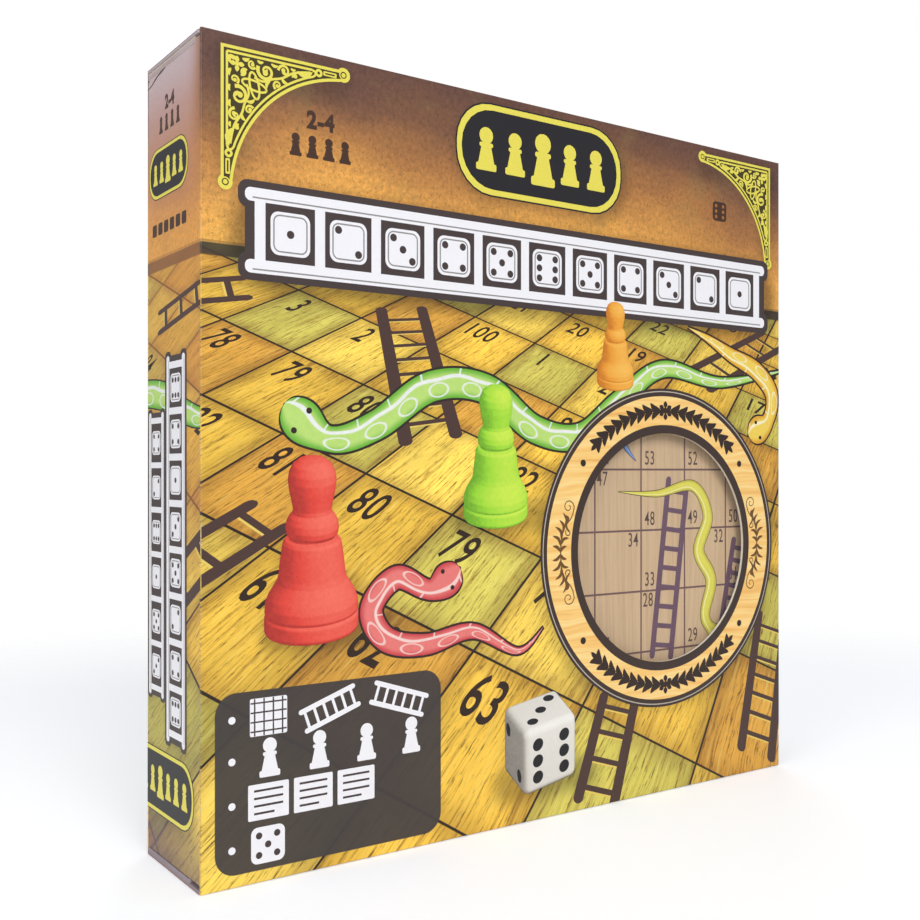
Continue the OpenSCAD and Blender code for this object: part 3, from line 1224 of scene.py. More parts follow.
    def outline(self, points: Sequence[Point]) -> "Sketch":
        """Adds the filled shape inside a closed line.

        Args:
            points: the line's points.

        Returns:
            The sketch itself.
        """
        before = set(self.bm.verts)
        bmesh.ops.triangle_fill(self.bm, edges=self._loop(points), use_beauty=True)
        return self._put_new(before, lambda co: (co.x, co.y))

    def band(self, outer: Sequence[Point], inner: Sequence[Point]) -> "Sketch":
        """Adds the shape between two closed lines with equally many points.

        Args:
            outer: the outer line's points.
            inner: the inner line's points.

        Returns:
            The sketch itself.
        """
        before = set(self.bm.verts)
        bmesh.ops.bridge_loops(self.bm, edges=self._loop(outer) + self._loop(inner))
        return self._put_new(before, lambda co: (co.x, co.y))

    def _loop(self, points: Sequence[Point]) -> List[bmesh.types.BMEdge]:
        """Adds the edges of a closed line."""
        verts = [self.bm.verts.new((x, y, 0)) for x, y in points]
        return [self.bm.edges.new((a, b)) for a, b in zip(verts, verts[1:] + verts[:1])]

    def number(self, text: str, centre: Point, height: float, slim: float, bold: float) -> "Sketch":
        """Adds a plain upright number, middled on its centre; slim narrows it and bold thickens its strokes.

        Args:
            text: the number.
            centre: its middle.
            height: the height of its figures.
            slim: its width to the typeface's own.
            bold: how much its strokes are thickened.

        Returns:
            The sketch itself.
        """
        curve = bpy.data.curves.new("number", "FONT")
        curve.body, curve.size, curve.resolution_u, curve.offset = text, 1.0, 4, bold
        curve.space_character = 1.1
        curve.align_x, curve.align_y = "CENTER", "CENTER"
        holder = placed("number", curve)
        bpy.context.view_layer.update()
        mesh = bpy.data.meshes.new_from_object(holder)
        before = set(self.bm.verts)
        self.bm.from_mesh(mesh)
        bpy.data.objects.remove(holder)
        bpy.data.curves.remove(curve)
        bpy.data.meshes.remove(mesh)
        size = height / self.FIGURE_SHARE
        return self._put_new(before, lambda co: (centre[0] + co.x * size * slim, centre[1] + co.y * size))

    def scroll(self, centre: Point, radius: float, start: float, turns: float, width: float) -> "Sketch":
        """Adds a spiral that winds in to a round bud; a negative number of turns winds the other way.

        Args:
            centre: its middle.
            radius: its outer radius.
            start: the angle where it starts.
            turns: how often it winds round.
            width: the width of its line.

        Returns:
            The sketch itself.
        """
        points = []
        for i in range(15):
            share = i / 14
            angle, r = math.radians(start + 360 * turns * share), radius * (1 - 0.8 * share)
            points.append((centre[0] + r * math.cos(angle), centre[1] + r * math.sin(angle)))
        self.ribbon(Track(points, steps=3), lambda share: width * (1.15 - 0.55 * share), 22)
        return self.disc(points[-1], width * 0.85, segments=10)

    def leaf(self, root: Point, tip: Point, width: float, bend: float = 0.2) -> "Sketch":
        """Adds a pointed leaf from its root to its tip, bent to one side by a share of its length.

        Args:
            root: its root.
            tip: its tip.
            width: its greatest width.
            bend: how far its middle goes to the left, to its length.

        Returns:
            The sketch itself.
        """
        a, b = Vector(root), Vector(tip)
        way = b - a
        middle = a.lerp(b, 0.5) + Vector((-way.y, way.x)) * bend
        return self.ribbon(Track([root, tuple(middle), tip], steps=6),
                           lambda share: width * math.sin(math.pi * min(share * 0.92 + 0.08, 1.0)) ** 0.8 + 0.02, 8)

    def trim(self, low: float, high: float, bottom: float, top: float) -> "Sketch":
        """Cuts away what runs past a rectangle of the picture.

        Args:
            low: the rectangle's left.
            high: its right.
            bottom: its lower edge.
            top: its upper edge.

        Returns:
            The sketch itself.
        """
        for point, way in (((low, 0, 0), (-1, 0, 0)), ((high, 0, 0), (1, 0, 0)),
                           ((0, bottom, 0), (0, -1, 0)), ((0, top, 0), (0, 1, 0))):
            bmesh.ops.bisect_plane(self.bm, geom=[*self.bm.verts, *self.bm.edges, *self.bm.faces], plane_co=point,
                                   plane_no=way, clear_outer=True)
        return self

    def lay(self, plane: Matrix, height: float, finish: Finish, slot: str, body: str = "carton") -> None:
        """Makes the sketch a thin closed piece on a printed face, if anything is left of it.

        Args:
            plane: the face, from picture millimetres to the row frame.
            height: how far the piece's face stands over the card.
            finish: its ink.
            slot: the record's material slot.
            body: the CAD body that it moves with.
        """
        if not self.bm.faces:
            return
        bmesh.ops.remove_doubles(self.bm, verts=self.bm.verts, dist=WELD)
        thicken(self.bm, (0, 0, INK_THICK))
        lift = height - max(v.co.z for v in self.bm.verts)
        bmesh.ops.translate(self.bm, verts=self.bm.verts, vec=(0, 0, lift))
        self.bm.transform(plane)
        for f in self.bm.faces:
            f.smooth = False
        finish_piece(self.name, self.bm, slot, body, finish)


def thicken(bm: bmesh.types.BMesh, step: Triple) -> None:
    """Draws flat faces out by a step, to a closed shape.

    Args:
        bm: the flat faces.
        step: how far they are drawn out along X, Y and Z.
    """
    made = bmesh.ops.extrude_face_region(bm, geom=list(bm.faces))["geom"]
    bmesh.ops.translate(bm, verts=[g for g in made if isinstance(g, bmesh.types.BMVert)], vec=step)
    bmesh.ops.recalc_face_normals(bm, faces=bm.faces)


def shaped(name: str, bm: bmesh.types.BMesh) -> bpy.types.Object:
    """Makes an object of a finished shape.

    Args:
        name: its name.
        bm: its shape, which is freed.

    Returns:
        The new object.
    """
    mesh = bpy.data.meshes.new(name)
    bm.to_mesh(mesh)
    bm.free()
    return placed(name, mesh)


def new_piece(name: str, bm: bmesh.types.BMesh, slot: str, *finishes: Finish) -> bpy.types.Object:
    """Makes a shape a named piece with one or more finishes.

    Args:
        name: the piece's name.
        bm: its shape, in metres of the row frame.
        slot: not used.
        finishes: its finishes, in the order of its faces' material numbers.

    Returns:
        The new object.
    """
    piece = shaped(name, bm)
    for finish in finishes:
        piece.data.materials.append(finish.material())
    LOG.info("%s: %d faces", name, len(piece.data.polygons))
    return piece


def finish_piece(name: str, bm: bmesh.types.BMesh, slot: str, body: str, *finishes: Finish) -> bpy.types.Object:
    """Makes a shape a named piece that rides on a body.

    Args:
        name: the piece's name.
        bm: its shape, in metres of the row frame.
        slot: handed on to new_piece, which does not use it.
        body: the CAD body that it moves with.
        finishes: its finishes, in the order of its faces' material numbers.

    Returns:
        The new object.
    """
    piece = new_piece(name, bm, slot, *finishes)
    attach(piece, body)
    return piece


class Portrait:
    """A solid thing pictured in the print: it is modelled on the view's table and then pressed flat."""

    def __init__(self, name: str, view: View) -> None:
        """Starts an empty portrait.

        Args:
            name: the piece's name.
            view: how the picture looks at the table.
        """
        self.name = name
        self.view = view
        self.bm = bmesh.new()
        # The way to the pictured light
        self.light = Vector((0.55, -0.45, 0.7)).normalized()

    def turned(self, outline: Sequence[Point], foot: Vector) -> "Portrait":
        """Adds a turned shape.

        Args:
            outline: radius and height from the foot to the top.
            foot: where its foot's middle stands on the table.

        Returns:
            The portrait itself.
        """
        fine = [outline[0]]
        for (r0, h0), (r1, h1) in zip(outline, outline[1:]):
            fine += [(r0 + (r1 - r0) * t, h0 + (h1 - h0) * t) for t in (0.15, 0.85, 1.0)]
        verts = [self.bm.verts.new((r, 0, h)) for r, h in fine]
        edges = [self.bm.edges.new((a, b)) for a, b in zip(verts, verts[1:])]
        bmesh.ops.spin(self.bm, geom=[*verts, *edges], cent=(0, 0, 0), axis=(0, 0, 1), dvec=(0, 0, 0),
                       angle=2 * math.pi, steps=56, use_merge=True)
        bmesh.ops.remove_doubles(self.bm, verts=self.bm.verts, dist=0.001)
        bmesh.ops.recalc_face_normals(self.bm, faces=self.bm.faces)
        bmesh.ops.translate(self.bm, verts=self.bm.verts, vec=foot)
        return self

    def cube(self, size: float, edge: float, centre: Vector, turn: float) -> "Portrait":
        """Adds a cube with rounded edges, turned about its upright axis.

        Args:
            size: its side.
            edge: the radius of its edges.
            centre: its middle.
            turn: the angle in degrees.

        Returns:
            The portrait itself.
        """
        bmesh.ops.create_cube(self.bm, size=size)
        bmesh.ops.bevel(self.bm, geom=[*self.bm.verts, *self.bm.edges], offset=edge, segments=5, profile=0.5,
                        affect="EDGES", material=-1)
        bmesh.ops.rotate(self.bm, verts=self.bm.verts, cent=(0, 0, 0),
                         matrix=Matrix.Rotation(math.radians(turn), 3, "Z"))
        bmesh.ops.translate(self.bm, verts=self.bm.verts, vec=centre)
        return self

    def press(self, plane: Matrix, height: float, finish: Finish, slot: str) -> None:
        """Stores each point's tone and presses the shape into the picture.

        Args:
            plane: the printed face.
            height: how far its nearest point stands over the card.
            finish: its finish, which reads the tone.
            slot: the record's material slot.
        """
        self.bm.normal_update()
        tone = self.bm.verts.layers.float.new("tone")
        eye = Vector((0, 0, self.view.height))
        seen = []
        for v in self.bm.verts:
            rim = max(0.0, v.normal.dot((eye - v.co).normalized()))
            lit = max(0.0, v.normal.dot(self.light))
            v[tone] = min(1.0, 0.1 + 0.66 * lit + 0.2 * rim)
            seen.append(self.view.seen(v.co))
        near, far = min(s[2] for s in seen), max(s[2] for s in seen)
        for v, (across, up, depth) in zip(self.bm.verts, seen):
            v.co = Vector((across, up, height - INK_THICK * (depth - near) / (far - near)))
        self.bm.transform(plane)
        finish_piece(self.name, self.bm, slot, "carton", finish).data.shade_smooth()


# Printed pictures

PAWN_OUTLINE: Tuple[Point, ...] = (
    (0.0, 0.0), (6.4, 0.0), (6.6, 0.4), (6.6, 2.2), (6.36, 2.6), (6.56, 3.0), (6.5, 4.3), (6.1, 5.4), (5.4, 6.6),
    (4.9, 7.5), (4.7, 8.3), (4.5, 10.2), (4.25, 12.2), (4.1, 13.1), (3.8, 13.5), (3.2, 13.7), (3.2, 13.9), (3.6, 14.4),
    (3.75, 15.2), (3.6, 16.2), (3.2, 17.0), (2.75, 17.5), (2.7, 18.1), (2.95, 19.4), (3.25, 20.9), (3.4, 22.2),
    (3.25, 23.4), (2.75, 24.5), (1.9, 25.2), (0.9, 25.5), (0.0, 25.55))


@dataclass
class Ladder:
    """A printed ladder: two rails and its rungs."""

    foot: Point
    top: Point
    gauge: float
    rail: float
    rungs: int
    overhang: float = 0.06
    rung: float = 0.6

    def steps(self, sketch: Sketch, drop: float = 0.0) -> Vector:
        """Adds the rungs to a sketch, moved towards the foot by a drop, and gives half the gauge as a vector.

        Args:
            sketch: the sketch that it is added to.
            drop: how far the rungs are moved.

        Returns:
            Half the gauge, square to the ladder.
        """
        a, b = Vector(self.foot), Vector(self.top)
        side = Vector((a.y - b.y, b.x - a.x)).normalized() * (self.gauge / 2)
        for i in range(self.rungs):
            p = a.lerp(b, self.overhang + (1 - 2 * self.overhang) * i / (self.rungs - 1))
            p -= (b - a).normalized() * drop
            sketch.line([tuple(p - side), tuple(p + side)], self.rail * self.rung)
        return side

    def draw(self, sketch: Sketch) -> Sketch:
        """Adds the rungs and the rails to a sketch.

        Args:
            sketch: the sketch that it is added to.

        Returns:
            That sketch.
        """
        a, b = Vector(self.foot), Vector(self.top)
        side = self.steps(sketch)
        for way in (-1, 1):
            start, end = a + side * way, b + side * way
            sketch.line([tuple(start), tuple(end)], self.rail)
            sketch.disc(tuple(start), self.rail / 2, segments=12).disc(tuple(end), self.rail / 2, segments=12)
        return sketch


@dataclass
class Snake:
    """A printed snake along a line, from its head to its tail."""

    points: Sequence[Point]
    width: float
    finish: SnakePrint
    # Widths of the head and the neck to the body's, and length of the head and neck together
    head: float = 1.5
    neck: float = 0.8
    nape: float = 1.9

    def wide(self, share: float, length: float) -> float:
        """The body's width at a share of the track's length: a round head, a neck and a long tail.

        Args:
            share: the share, from 0 at the head.
            length: the track's length.

        Returns:
            The width.
        """
        t = share * length / (self.width * self.nape)
        if t < 0.42:
            return self.width * self.head * math.sqrt(max(0.0, 1 - (1 - t / 0.42) ** 2)) + 0.02
        if t < 1:
            swell = 0.5 + 0.5 * math.cos(math.pi * (t - 0.42) / 0.58)
            return self.width * (self.neck + (self.head - self.neck) * swell)
        body = 1 - (1 - self.neck) * max(0.0, 1 - (t - 1) / 2.2) ** 2
        return self.width * body * (1 - max(0.0, (share - 0.35) / 0.65) ** 1.7) + 0.02

    def draw(self, name: str, plane: Matrix, height: float, slot: str, line: float,
             crop: Optional[Crop] = None) -> None:
        """Lays the snake's outline, its body and two dots for eyes on a printed face.

        Args:
            name: the body's name, with which the other names start.
            plane: the printed face.
            height: how far the outline stands over the card.
            slot: the record's material slot.
            line: how far the outline reaches past the body.
            crop: the rectangle that it ends at.
        """
        track = Track(self.points)
        outline, body = (Sketch(name + part).ribbon(
            track, lambda share: self.wide(share, track.length) + 2 * past, 170, crowd=1.8)
            for part, past in (("_outline", line), ("", 0.0)))
        outline.disc(tuple(track.at(0.002)), line, segments=16)
        eyes = Sketch(name + "_eyes")
        share = self.width * self.nape * 0.4 / track.length
        for way in (-1, 1):
            spot = track.at(share) + track.side(share) * (way * self.width * self.head * 0.3)
            eyes.disc(tuple(spot), self.width * 0.1, segments=14)
        for sketch in (outline, body, eyes):
            if crop:
                sketch.trim(*crop)
        outline.lay(plane, height, INK_DARK, slot)
        body.lay(plane, height + Step.FIRST, self.finish, slot)
        eyes.lay(plane, height + Step.SECOND, INK_DARK, slot)


SNAKE_GREEN = SnakePrint("snake_green", (190, 226, 122), (108, 184, 60), (242, 244, 246))
SNAKE_PINK = SnakePrint("snake_pink", (236, 126, 122), (208, 72, 80), (250, 220, 214))
SNAKE_YELLOW = SnakePrint("snake_yellow", (246, 214, 92), (226, 166, 52), (254, 246, 204))


@dataclass
class Die:
    """A die pictured on the board."""

    foot: Point
    size: float = 13.0
    turn: float = 22.0

    def draw(self, plane: Matrix, height: float, view: View) -> None:
        """Presses the cube and lays pips on the faces that show.

        Args:
            plane: the printed face.
            height: how far it stands over the card.
            view: how the picture looks at it.
        """
        gx, gy = view.table(*view.ground(*self.foot))
        centre = Vector((gx, gy, self.size / 2))
        white = FormPrint("print_die_white", (112, 106, 100), (214, 210, 202), (250, 249, 246), 0.12)
        Portrait("print_die", view).cube(self.size, 1.6, centre, self.turn).press(plane, height, white, "printed_front")
        pips = Sketch("print_die_pips")
        spin = Matrix.Rotation(math.radians(self.turn), 3, "Z")
        # Each face that shows: its outward way, its own right and up, and its pips
        for *ways, places in (((0, 0, 1), (1, 0, 0), (0, 1, 0), ((-1, -1), (0, 0), (1, 1))),
                              ((0, -1, 0), (1, 0, 0), (0, 0, 1), ((-1, -1), (1, -1), (-1, 0), (1, 0), (-1, 1), (1, 1))),
                              ((-1, 0, 0), (0, -1, 0), (0, 0, 1), ((-1, 1), (1, -1)))):
            normal, a, b = (Vector(way) for way in ways)
            for i, j in places:
                spot = (normal * 0.5 + a * (0.25 * i) + b * (0.25 * j)) * self.size

                def flat(u: float, v: float, spot: Vector = spot, a: Vector = a, b: Vector = b) -> Point:
                    """A point of the face, as it is seen."""
                    across, up, _ = view.seen(spin @ (spot + a * u + b * v) + centre)
                    return across, up
                pips.place = flat
                pips.disc((0, 0), 1.25, segments=20)
        pips.place = None
        pips.lay(plane, height + Step.SECOND, INK_BLACK, "printed_front")


@dataclass
class CornerBracket:
    """A pierced corner ornament in gold on olive: a frame, a ring at each arm's end and scrolls inside.

    It is drawn along its two arms at its own size, with the corner at zero.
    """

    # The size that it is drawn at, and the middles of its hollow inner edge, end ring, rosette and oval
    DRAWN: ClassVar[float] = 45.4
    HOLLOW: ClassVar[float] = 46.93
    RING: ClassVar[Point] = (42.9, 1.5)
    ROSETTE: ClassVar[float] = 5.4
    OVAL: ClassVar[float] = 11.2

    corner: Point
    across: int
    up: int
    size: float = DRAWN

    def place(self, a: float, b: float) -> Point:
        """A point of the bracket, along its two arms, in the picture."""
        k = self.size / self.DRAWN
        return self.corner[0] + self.across * a * k, self.corner[1] + self.up * b * k

    @classmethod
    def rim(cls, inset: float) -> List[Point]:
        """The bracket's outline, set in from its edge.

        Args:
            inset: how far it is set in.

        Returns:
            The outline's points.
        """
        lean, bulge, (reach, low) = 7.4, 2.45 - inset, cls.RING
        turn = math.degrees(math.asin((inset - low) / bulge))
        return [(inset, inset), (15.0, inset), (30.0, inset),
                *arc_points((reach, low), bulge, -180 - turn, 108, 18),
                *arc_points((cls.HOLLOW, cls.HOLLOW), 43.3 + inset, 270 - lean, 180 + lean, 30),
                *arc_points((low, reach), bulge, -18, 270 + turn, 18),
                (inset, 30.0), (inset, 15.0)]

    def draw(self, name: str, plane: Matrix, slot: str) -> None:
        """Lays the olive plate and the gold work over it.

        Args:
            name: what the names of its pieces start with.
            plane: the printed face.
            slot: the record's material slot.
        """
        Sketch(name + "_plate", self.place).outline(self.rim(0.0)).lay(plane, Layer.PLATES, INK_OLIVE, slot)
        gold = Sketch(name + "_gold", self.place).band(self.rim(0.0), self.rim(1.0))
        gold.line([(32.7, 2.55), (31.4, 2.05), (2.05, 2.05), (2.05, 31.4), (2.55, 32.7)], 0.78)
        hollow = arc_points((self.HOLLOW, self.HOLLOW), 45.35, 199, 251, 22)
        gold.ribbon(Track([(2.9, 32.7), *hollow, (32.7, 2.9)], steps=2), 0.74, 48)
        for lean in (12, 78):
            c, s = cos_sin(lean)
            oval = [(self.OVAL + 4.2 * x * c - 1.5 * y * s, self.OVAL + 4.2 * x * s + 1.5 * y * c)
                    for x, y in arc_points((0, 0), 1.0, 0, 360, 28)]
            gold.ribbon(Track(oval, steps=2), 0.72, 56)
        for flip in (False, True):
            self.half(gold, flip)
        mid = self.ROSETTE
        for angle in range(0, 360, 90):
            c, s = cos_sin(angle)
            gold.leaf((mid + 0.4 * c, mid + 0.4 * s), (mid + 2.5 * c, mid + 2.5 * s), 1.5, 0.0)
        gold.disc((mid, mid), 0.7, segments=20)
        gold.lay(plane, Layer.GOLD, INK_GOLD, slot)
        dark = Sketch(name + "_slots", self.place)
        dark.plate((37.9, 2.3), 3.6, 0.5, 0.24).plate((2.3, 37.9), 0.5, 3.6, 0.24)
        for ring in (self.RING, self.RING[::-1]):
            dark.disc(ring, 1.15, 0.78, segments=32)
        dark.lay(plane, Layer.RINGS, INK_OLIVE, slot)

    @staticmethod
    def half(gold: Sketch, flip: bool) -> None:
        """Adds the ornament of one arm: rings and a bar at its end, then scrolls, leaves and a stem.

        Args:
            gold: the sketch of the gold work.
            flip: whether it is the other arm.
        """
        def at(a: float, b: float) -> Point:
            """Mirrors a place over the bracket's middle line."""
            return (b, a) if flip else (a, b)

        def turned(degrees: float) -> float:
            """Mirrors an angle over the same line."""
            return 90 - degrees if flip else degrees
        hand = -1 if flip else 1
        gold.disc(at(42.9, 1.5), 1.6, segments=32).disc(at(33.8, 2.6), 1.35, 0.5, segments=24)
        gold.plate(at(37.9, 2.3), *(at(4.9, 1.5)), 0.4)
        for (a, b), r, start, turns, width in (
                ((15.2, 5.9), 3.0, 205, -1.25, 1.1), ((21.5, 4.6), 2.1, 180, 1.1, 0.86),
                ((19.2, 9.5), 1.55, 120, 1.0, 0.74), ((25.3, 5.5), 0.95, 150, 1.1, 0.6),
                ((10.4, 4.5), 1.55, 40, 1.0, 0.74)):
            gold.scroll(at(a, b), r, turned(start), hand * turns, width)
        for root, tip, width in (
                ((26.0, 3.8), (31.6, 2.8), 1.7), ((3.0, 3.0), (5.6, 3.4), 1.4), ((7.2, 3.4), (9.6, 2.9), 1.2),
                ((14.2, 6.4), (15.6, 5.0), 1.0), ((17.0, 3.1), (19.4, 3.3), 1.0), ((21.0, 4.2), (22.2, 5.2), 0.8),
                ((20.6, 6.9), (22.8, 8.3), 1.1), ((8.8, 6.6), (6.6, 8.2), 1.2), ((16.6, 8.6), (15.4, 11.4), 1.1),
                ((12.2, 3.0), (14.4, 3.1), 1.0), ((23.8, 3.2), (25.6, 3.3), 0.9)):
            gold.leaf(at(*root), at(*tip), width)
        stem = ((11.2, 8.6), (14.2, 9.3), (17.2, 8.0), (20.8, 6.9), (25.0, 4.4), (30.8, 3.1))
        gold.ribbon(Track([at(*spot) for spot in stem], steps=6), 0.76, 36)


@dataclass
class WindowRing:
    """The printed ring round the window: dark lips, a band of light wood, dots and leaf scrolls."""

    centre: Point
    hole: float
    # Radii of the wood's inner and outer edge, of the whole ring, and of the dots in the wood
    lip: float = 49.9
    wood: float = 61.6
    outer: float = 64.7
    dots: float = 55.6

    def polar(self, angle: float, radius: float) -> Point:
        """A point of the ring, its angle in degrees from the right."""
        c, s = cos_sin(angle)
        return self.centre[0] + radius * c, self.centre[1] + radius * s

    def garland(self, sketch: Sketch, middle: float) -> None:
        """Adds a laurel garland along the ring: two runs of paired leaves that grow from a rosette in the middle.

        Args:
            sketch: the sketch that it is added to.
            middle: the angle of the rosette.
        """
        r0 = (self.lip + self.wood) / 2
        for way in (-1, 1):
            points = [self.polar(middle + way * 4.6 * i, r0) for i in range(10)]
            sketch.ribbon(Track(points, steps=4), 0.8, 40)
            for i in range(9):
                root = middle + way * (3.2 + 4.4 * i)
                for out in (-1, 1):
                    tip = self.polar(root + way * 5.0, r0 + out * 3.5)
                    sketch.leaf(self.polar(root, r0 + out * 0.3), tip, 2.5, 0.16 * out * way)
            sketch.leaf(self.polar(middle + way * 41.0, r0), self.polar(middle + way * 45.6, r0), 2.0, 0.0)
        bud = self.polar(middle, r0)
        sketch.disc(bud, 1.3)
        for k in range(6):
            c, s = cos_sin(60 * k + middle)
            sketch.leaf((bud[0] + 1.2 * c, bud[1] + 1.2 * s), (bud[0] + 3.9 * c, bud[1] + 3.9 * s), 2.2, 0.0)

    def draw(self, plane: Matrix, slot: str) -> None:
        """Lays the ring's layers.

        Args:
            plane: the printed face.
            slot: the record's material slot.
        """
        for name, outer, inner, height, finish in (
                ("ring_edge", self.outer, self.hole + 0.05, Layer.RINGS, Ink("ink_ring", (64, 50, 46))),
                ("ring_wood", self.wood, self.lip, Layer.RING_WOOD, RingWood("ring_wood")),
                ("ring_white_line", 63.7, 63.3, Layer.RING_LINE, Ink("ink_ring_line", (196, 186, 174), 0.04))):
            Sketch(name).disc(self.centre, outer, inner, segments=180).lay(plane, height, finish, slot)
        dots = Sketch("ring_dots")
        for angle in (38, 142, 218, 322):
            dots.disc(self.polar(angle, self.dots), 1.35, segments=24)
        dots.lay(plane, Layer.RING_LEAVES, INK_DARK, slot)
        sides = Sketch("ring_scrolls")
        for middle in (0, 180):
            for way in (-1, 1):
                self.spray(sides, middle, way)
        sides.lay(plane, Layer.RING_LEAVES, INK_SCROLL, slot)
        vines = Sketch("ring_vines")
        for middle in (90, 270):
            self.garland(vines, middle)
        vines.lay(plane, Layer.RING_LEAVES, INK_DARK, slot)

    def spray(self, sketch: Sketch, middle: float, way: int) -> None:
        """Adds a leafy stem along the ring that ends in an open spiral, one of a pair that meets in the middle.

        Args:
            sketch: the sketch that it is added to.
            middle: the angle where the pair meets.
            way: 1 anticlockwise, -1 clockwise.
        """
        def at(along: float, out: float) -> Point:
            """Millimetres along and across the ring."""
            return self.polar(middle + way * math.degrees(along / self.dots), self.dots - 0.2 + out)

        def curl(along: float, out: float, radius: float, shrink: float, start: float, turn: float,
                 count: int) -> List[Point]:
            """Points of a spiral that winds in, its angles in degrees."""
            turns = [(radius - shrink * k, *cos_sin(start + turn * k)) for k in range(count)]
            return [at(along + r * c, out + r * s) for r, c, s in turns]
        spiral = curl(18.3, -1.4, 2.9, 0.15, -105, 30, 17)
        stem = [at(0.0, -0.4), at(4.0, -0.5), at(8.0, -0.9), at(11.0, -2.0), at(14.0, -3.7), at(16.0, -4.2), *spiral]
        sketch.ribbon(Track(stem, steps=4), lambda s: 0.62 - 0.26 * s, 120)
        for root, tip, width, bend in (((9.8, -1.4), (15.4, 0.6), 1.3, 0.26), ((7.4, -0.8), (12.4, 1.7), 1.25, 0.26),
                                       ((5.0, -0.6), (9.6, 3.2), 1.3, 0.24), ((2.6, -0.4), (6.2, 4.0), 1.3, 0.22),
                                       ((0.4, -0.4), (2.6, 3.6), 1.3, 0.16), ((0.4, -0.4), (2.6, -3.4), 1.2, -0.2),
                                       ((3.2, -0.5), (6.0, -4.2), 1.2, -0.24), ((11.4, -2.2), (9.0, -4.2), 0.9, 0.24),
                                       ((12.6, -2.8), (14.8, -1.2), 0.8, 0.24), ((6.0, -0.7), (8.4, 1.0), 0.8, 0.3)):
            sketch.leaf(at(*root), at(*tip), width, bend * way)
        sketch.ribbon(Track(curl(8.2, -3.6, 1.5, 0.13, 60, 42, 9), steps=4), 0.45, 28)


PIP_PLACES: Dict[int, Tuple[Point, ...]] = {
    1: ((0, 0),), 2: ((-1, 1), (1, -1)), 3: ((-1, 1), (0, 0), (1, -1)), 4: ((-1, 1), (1, 1), (-1, -1), (1, -1)),
    5: ((-1, 1), (1, 1), (0, 0), (-1, -1), (1, -1)), 6: ((-1, 1), (1, 1), (-1, 0), (1, 0), (-1, -1), (1, -1))}


@dataclass
class Frieze:
    """A white ladder with dice between its rungs, outlined in dark, along or up the carton."""

    start: Point
    length: float
    gauge: float
    faces: Tuple[int, ...]
    upright: bool = False

    def place(self, a: float, b: float) -> Point:
        """Along and beside the frieze, in the picture."""
        return (self.start[0] - b, self.start[1] + a) if self.upright else (self.start[0] + a, self.start[1] + b)

    @property
    def rail(self) -> float:
        """Width of a rail."""
        return self.gauge * 0.16

    def posts(self) -> List[float]:
        """Where the rungs stand, along the frieze."""
        end, count = self.gauge * 0.19, len(self.faces)
        return [end + (self.length - 2 * end) * i / count for i in range(count + 1)]

    def dice(self) -> Tuple[List[float], float]:
        """The middles between the rungs and the dice's size.

        Returns:
            Both of them.
        """
        posts = self.posts()
        size = min(self.gauge * (0.56 if self.upright else 0.53), (posts[1] - posts[0]) * 0.66)
        return [(a + b) / 2 for a, b in zip(posts, posts[1:])], size

    def shapes(self, sketch: Sketch, grow: float) -> Sketch:
        """Adds the ladder and the dice, grown by a margin.

        Args:
            sketch: the sketch that it is added to.
            grow: the margin.

        Returns:
            That sketch.
        """
        rail = self.rail
        half = self.gauge / 2 - rail / 2
        for b in (-half, half):
            sketch.plate((self.length / 2, b), self.length + 2 * grow, rail + 2 * grow, rail * 0.45 + grow * 0.6)
        for a in self.posts():
            sketch.plate((a, 0), rail * 0.85 + 2 * grow, self.gauge - rail, 0.0)
        middles, die = self.dice()
        for a in middles:
            sketch.plate((a, 0), die + 2 * grow, die + 2 * grow, die * 0.2 + grow * 0.6)
        return sketch

    def draw(self, name: str, plane: Matrix, slot: str, height: float, body: str = "carton") -> None:
        """Lays the outline, the white shapes, their inner line and the pips.

        Args:
            name: what the names of its pieces start with.
            plane: the printed face.
            slot: the record's material slot.
            height: how far the outline stands over the card.
            body: the CAD body that it moves with.
        """
        k = self.gauge / 27
        edge = Sketch(name + "_outline", self.place).plate((self.length / 2, 0), self.length, self.gauge * 0.9)
        self.shapes(edge, 2.3 * k).lay(plane, height, INK_OUTLINE, slot, body)
        self.shapes(Sketch(name + "_white", self.place), 0.0).lay(
            plane, height + Step.FIRST, INK_WHITE, slot, body)
        lines, pips = Sketch(name + "_lines", self.place), Sketch(name + "_pips", self.place)
        rail = self.rail
        for b in (self.gauge / 2 - rail / 2, -self.gauge / 2 + rail / 2):
            lines.line([(rail * 0.6, b - rail * 0.22), (self.length - rail * 0.6, b - rail * 0.22)], 0.5 * k)
        middles, die = self.dice()
        size, round_off = die - 1.8 * k, die * 0.17
        for middle, face in zip(middles, self.faces):
            lines.band(*(round_box((middle, 0.0), size - less, size - less, round_off - less / 2) for less in (0.0, k)))
            for a, b in PIP_PLACES[face]:
                pips.disc((middle + a * die * 0.27, b * die * 0.27), die * 0.095, segments=18)
        lines.lay(plane, height + Step.SECOND, INK_GREY, slot, body)
        pips.lay(plane, height + Step.THIRD, INK_OUTLINE, slot, body)


def pawn_shape(sketch: Sketch, foot: Point, height: float) -> Sketch:
    """Adds a small flat pawn, standing on its foot's middle.

    Args:
        sketch: the sketch that it is added to.
        foot: the middle of its foot.
        height: its height.

    Returns:
        That sketch.
    """
    x, y = foot
    k = height / 26
    sketch.plate((x, y + 2.2 * k), 15 * k, 4.4 * k, 1.2 * k)
    sketch.outline([(x + a * k, y + b * k) for a, b in ((-6, 4), (6, 4), (3.6, 14.5), (-3.6, 14.5))])
    sketch.plate((x, y + 15.4 * k), 10 * k, 2.6 * k, 1.1 * k)
    return sketch.disc((x, y + 21 * k), 5 * k, segments=28)


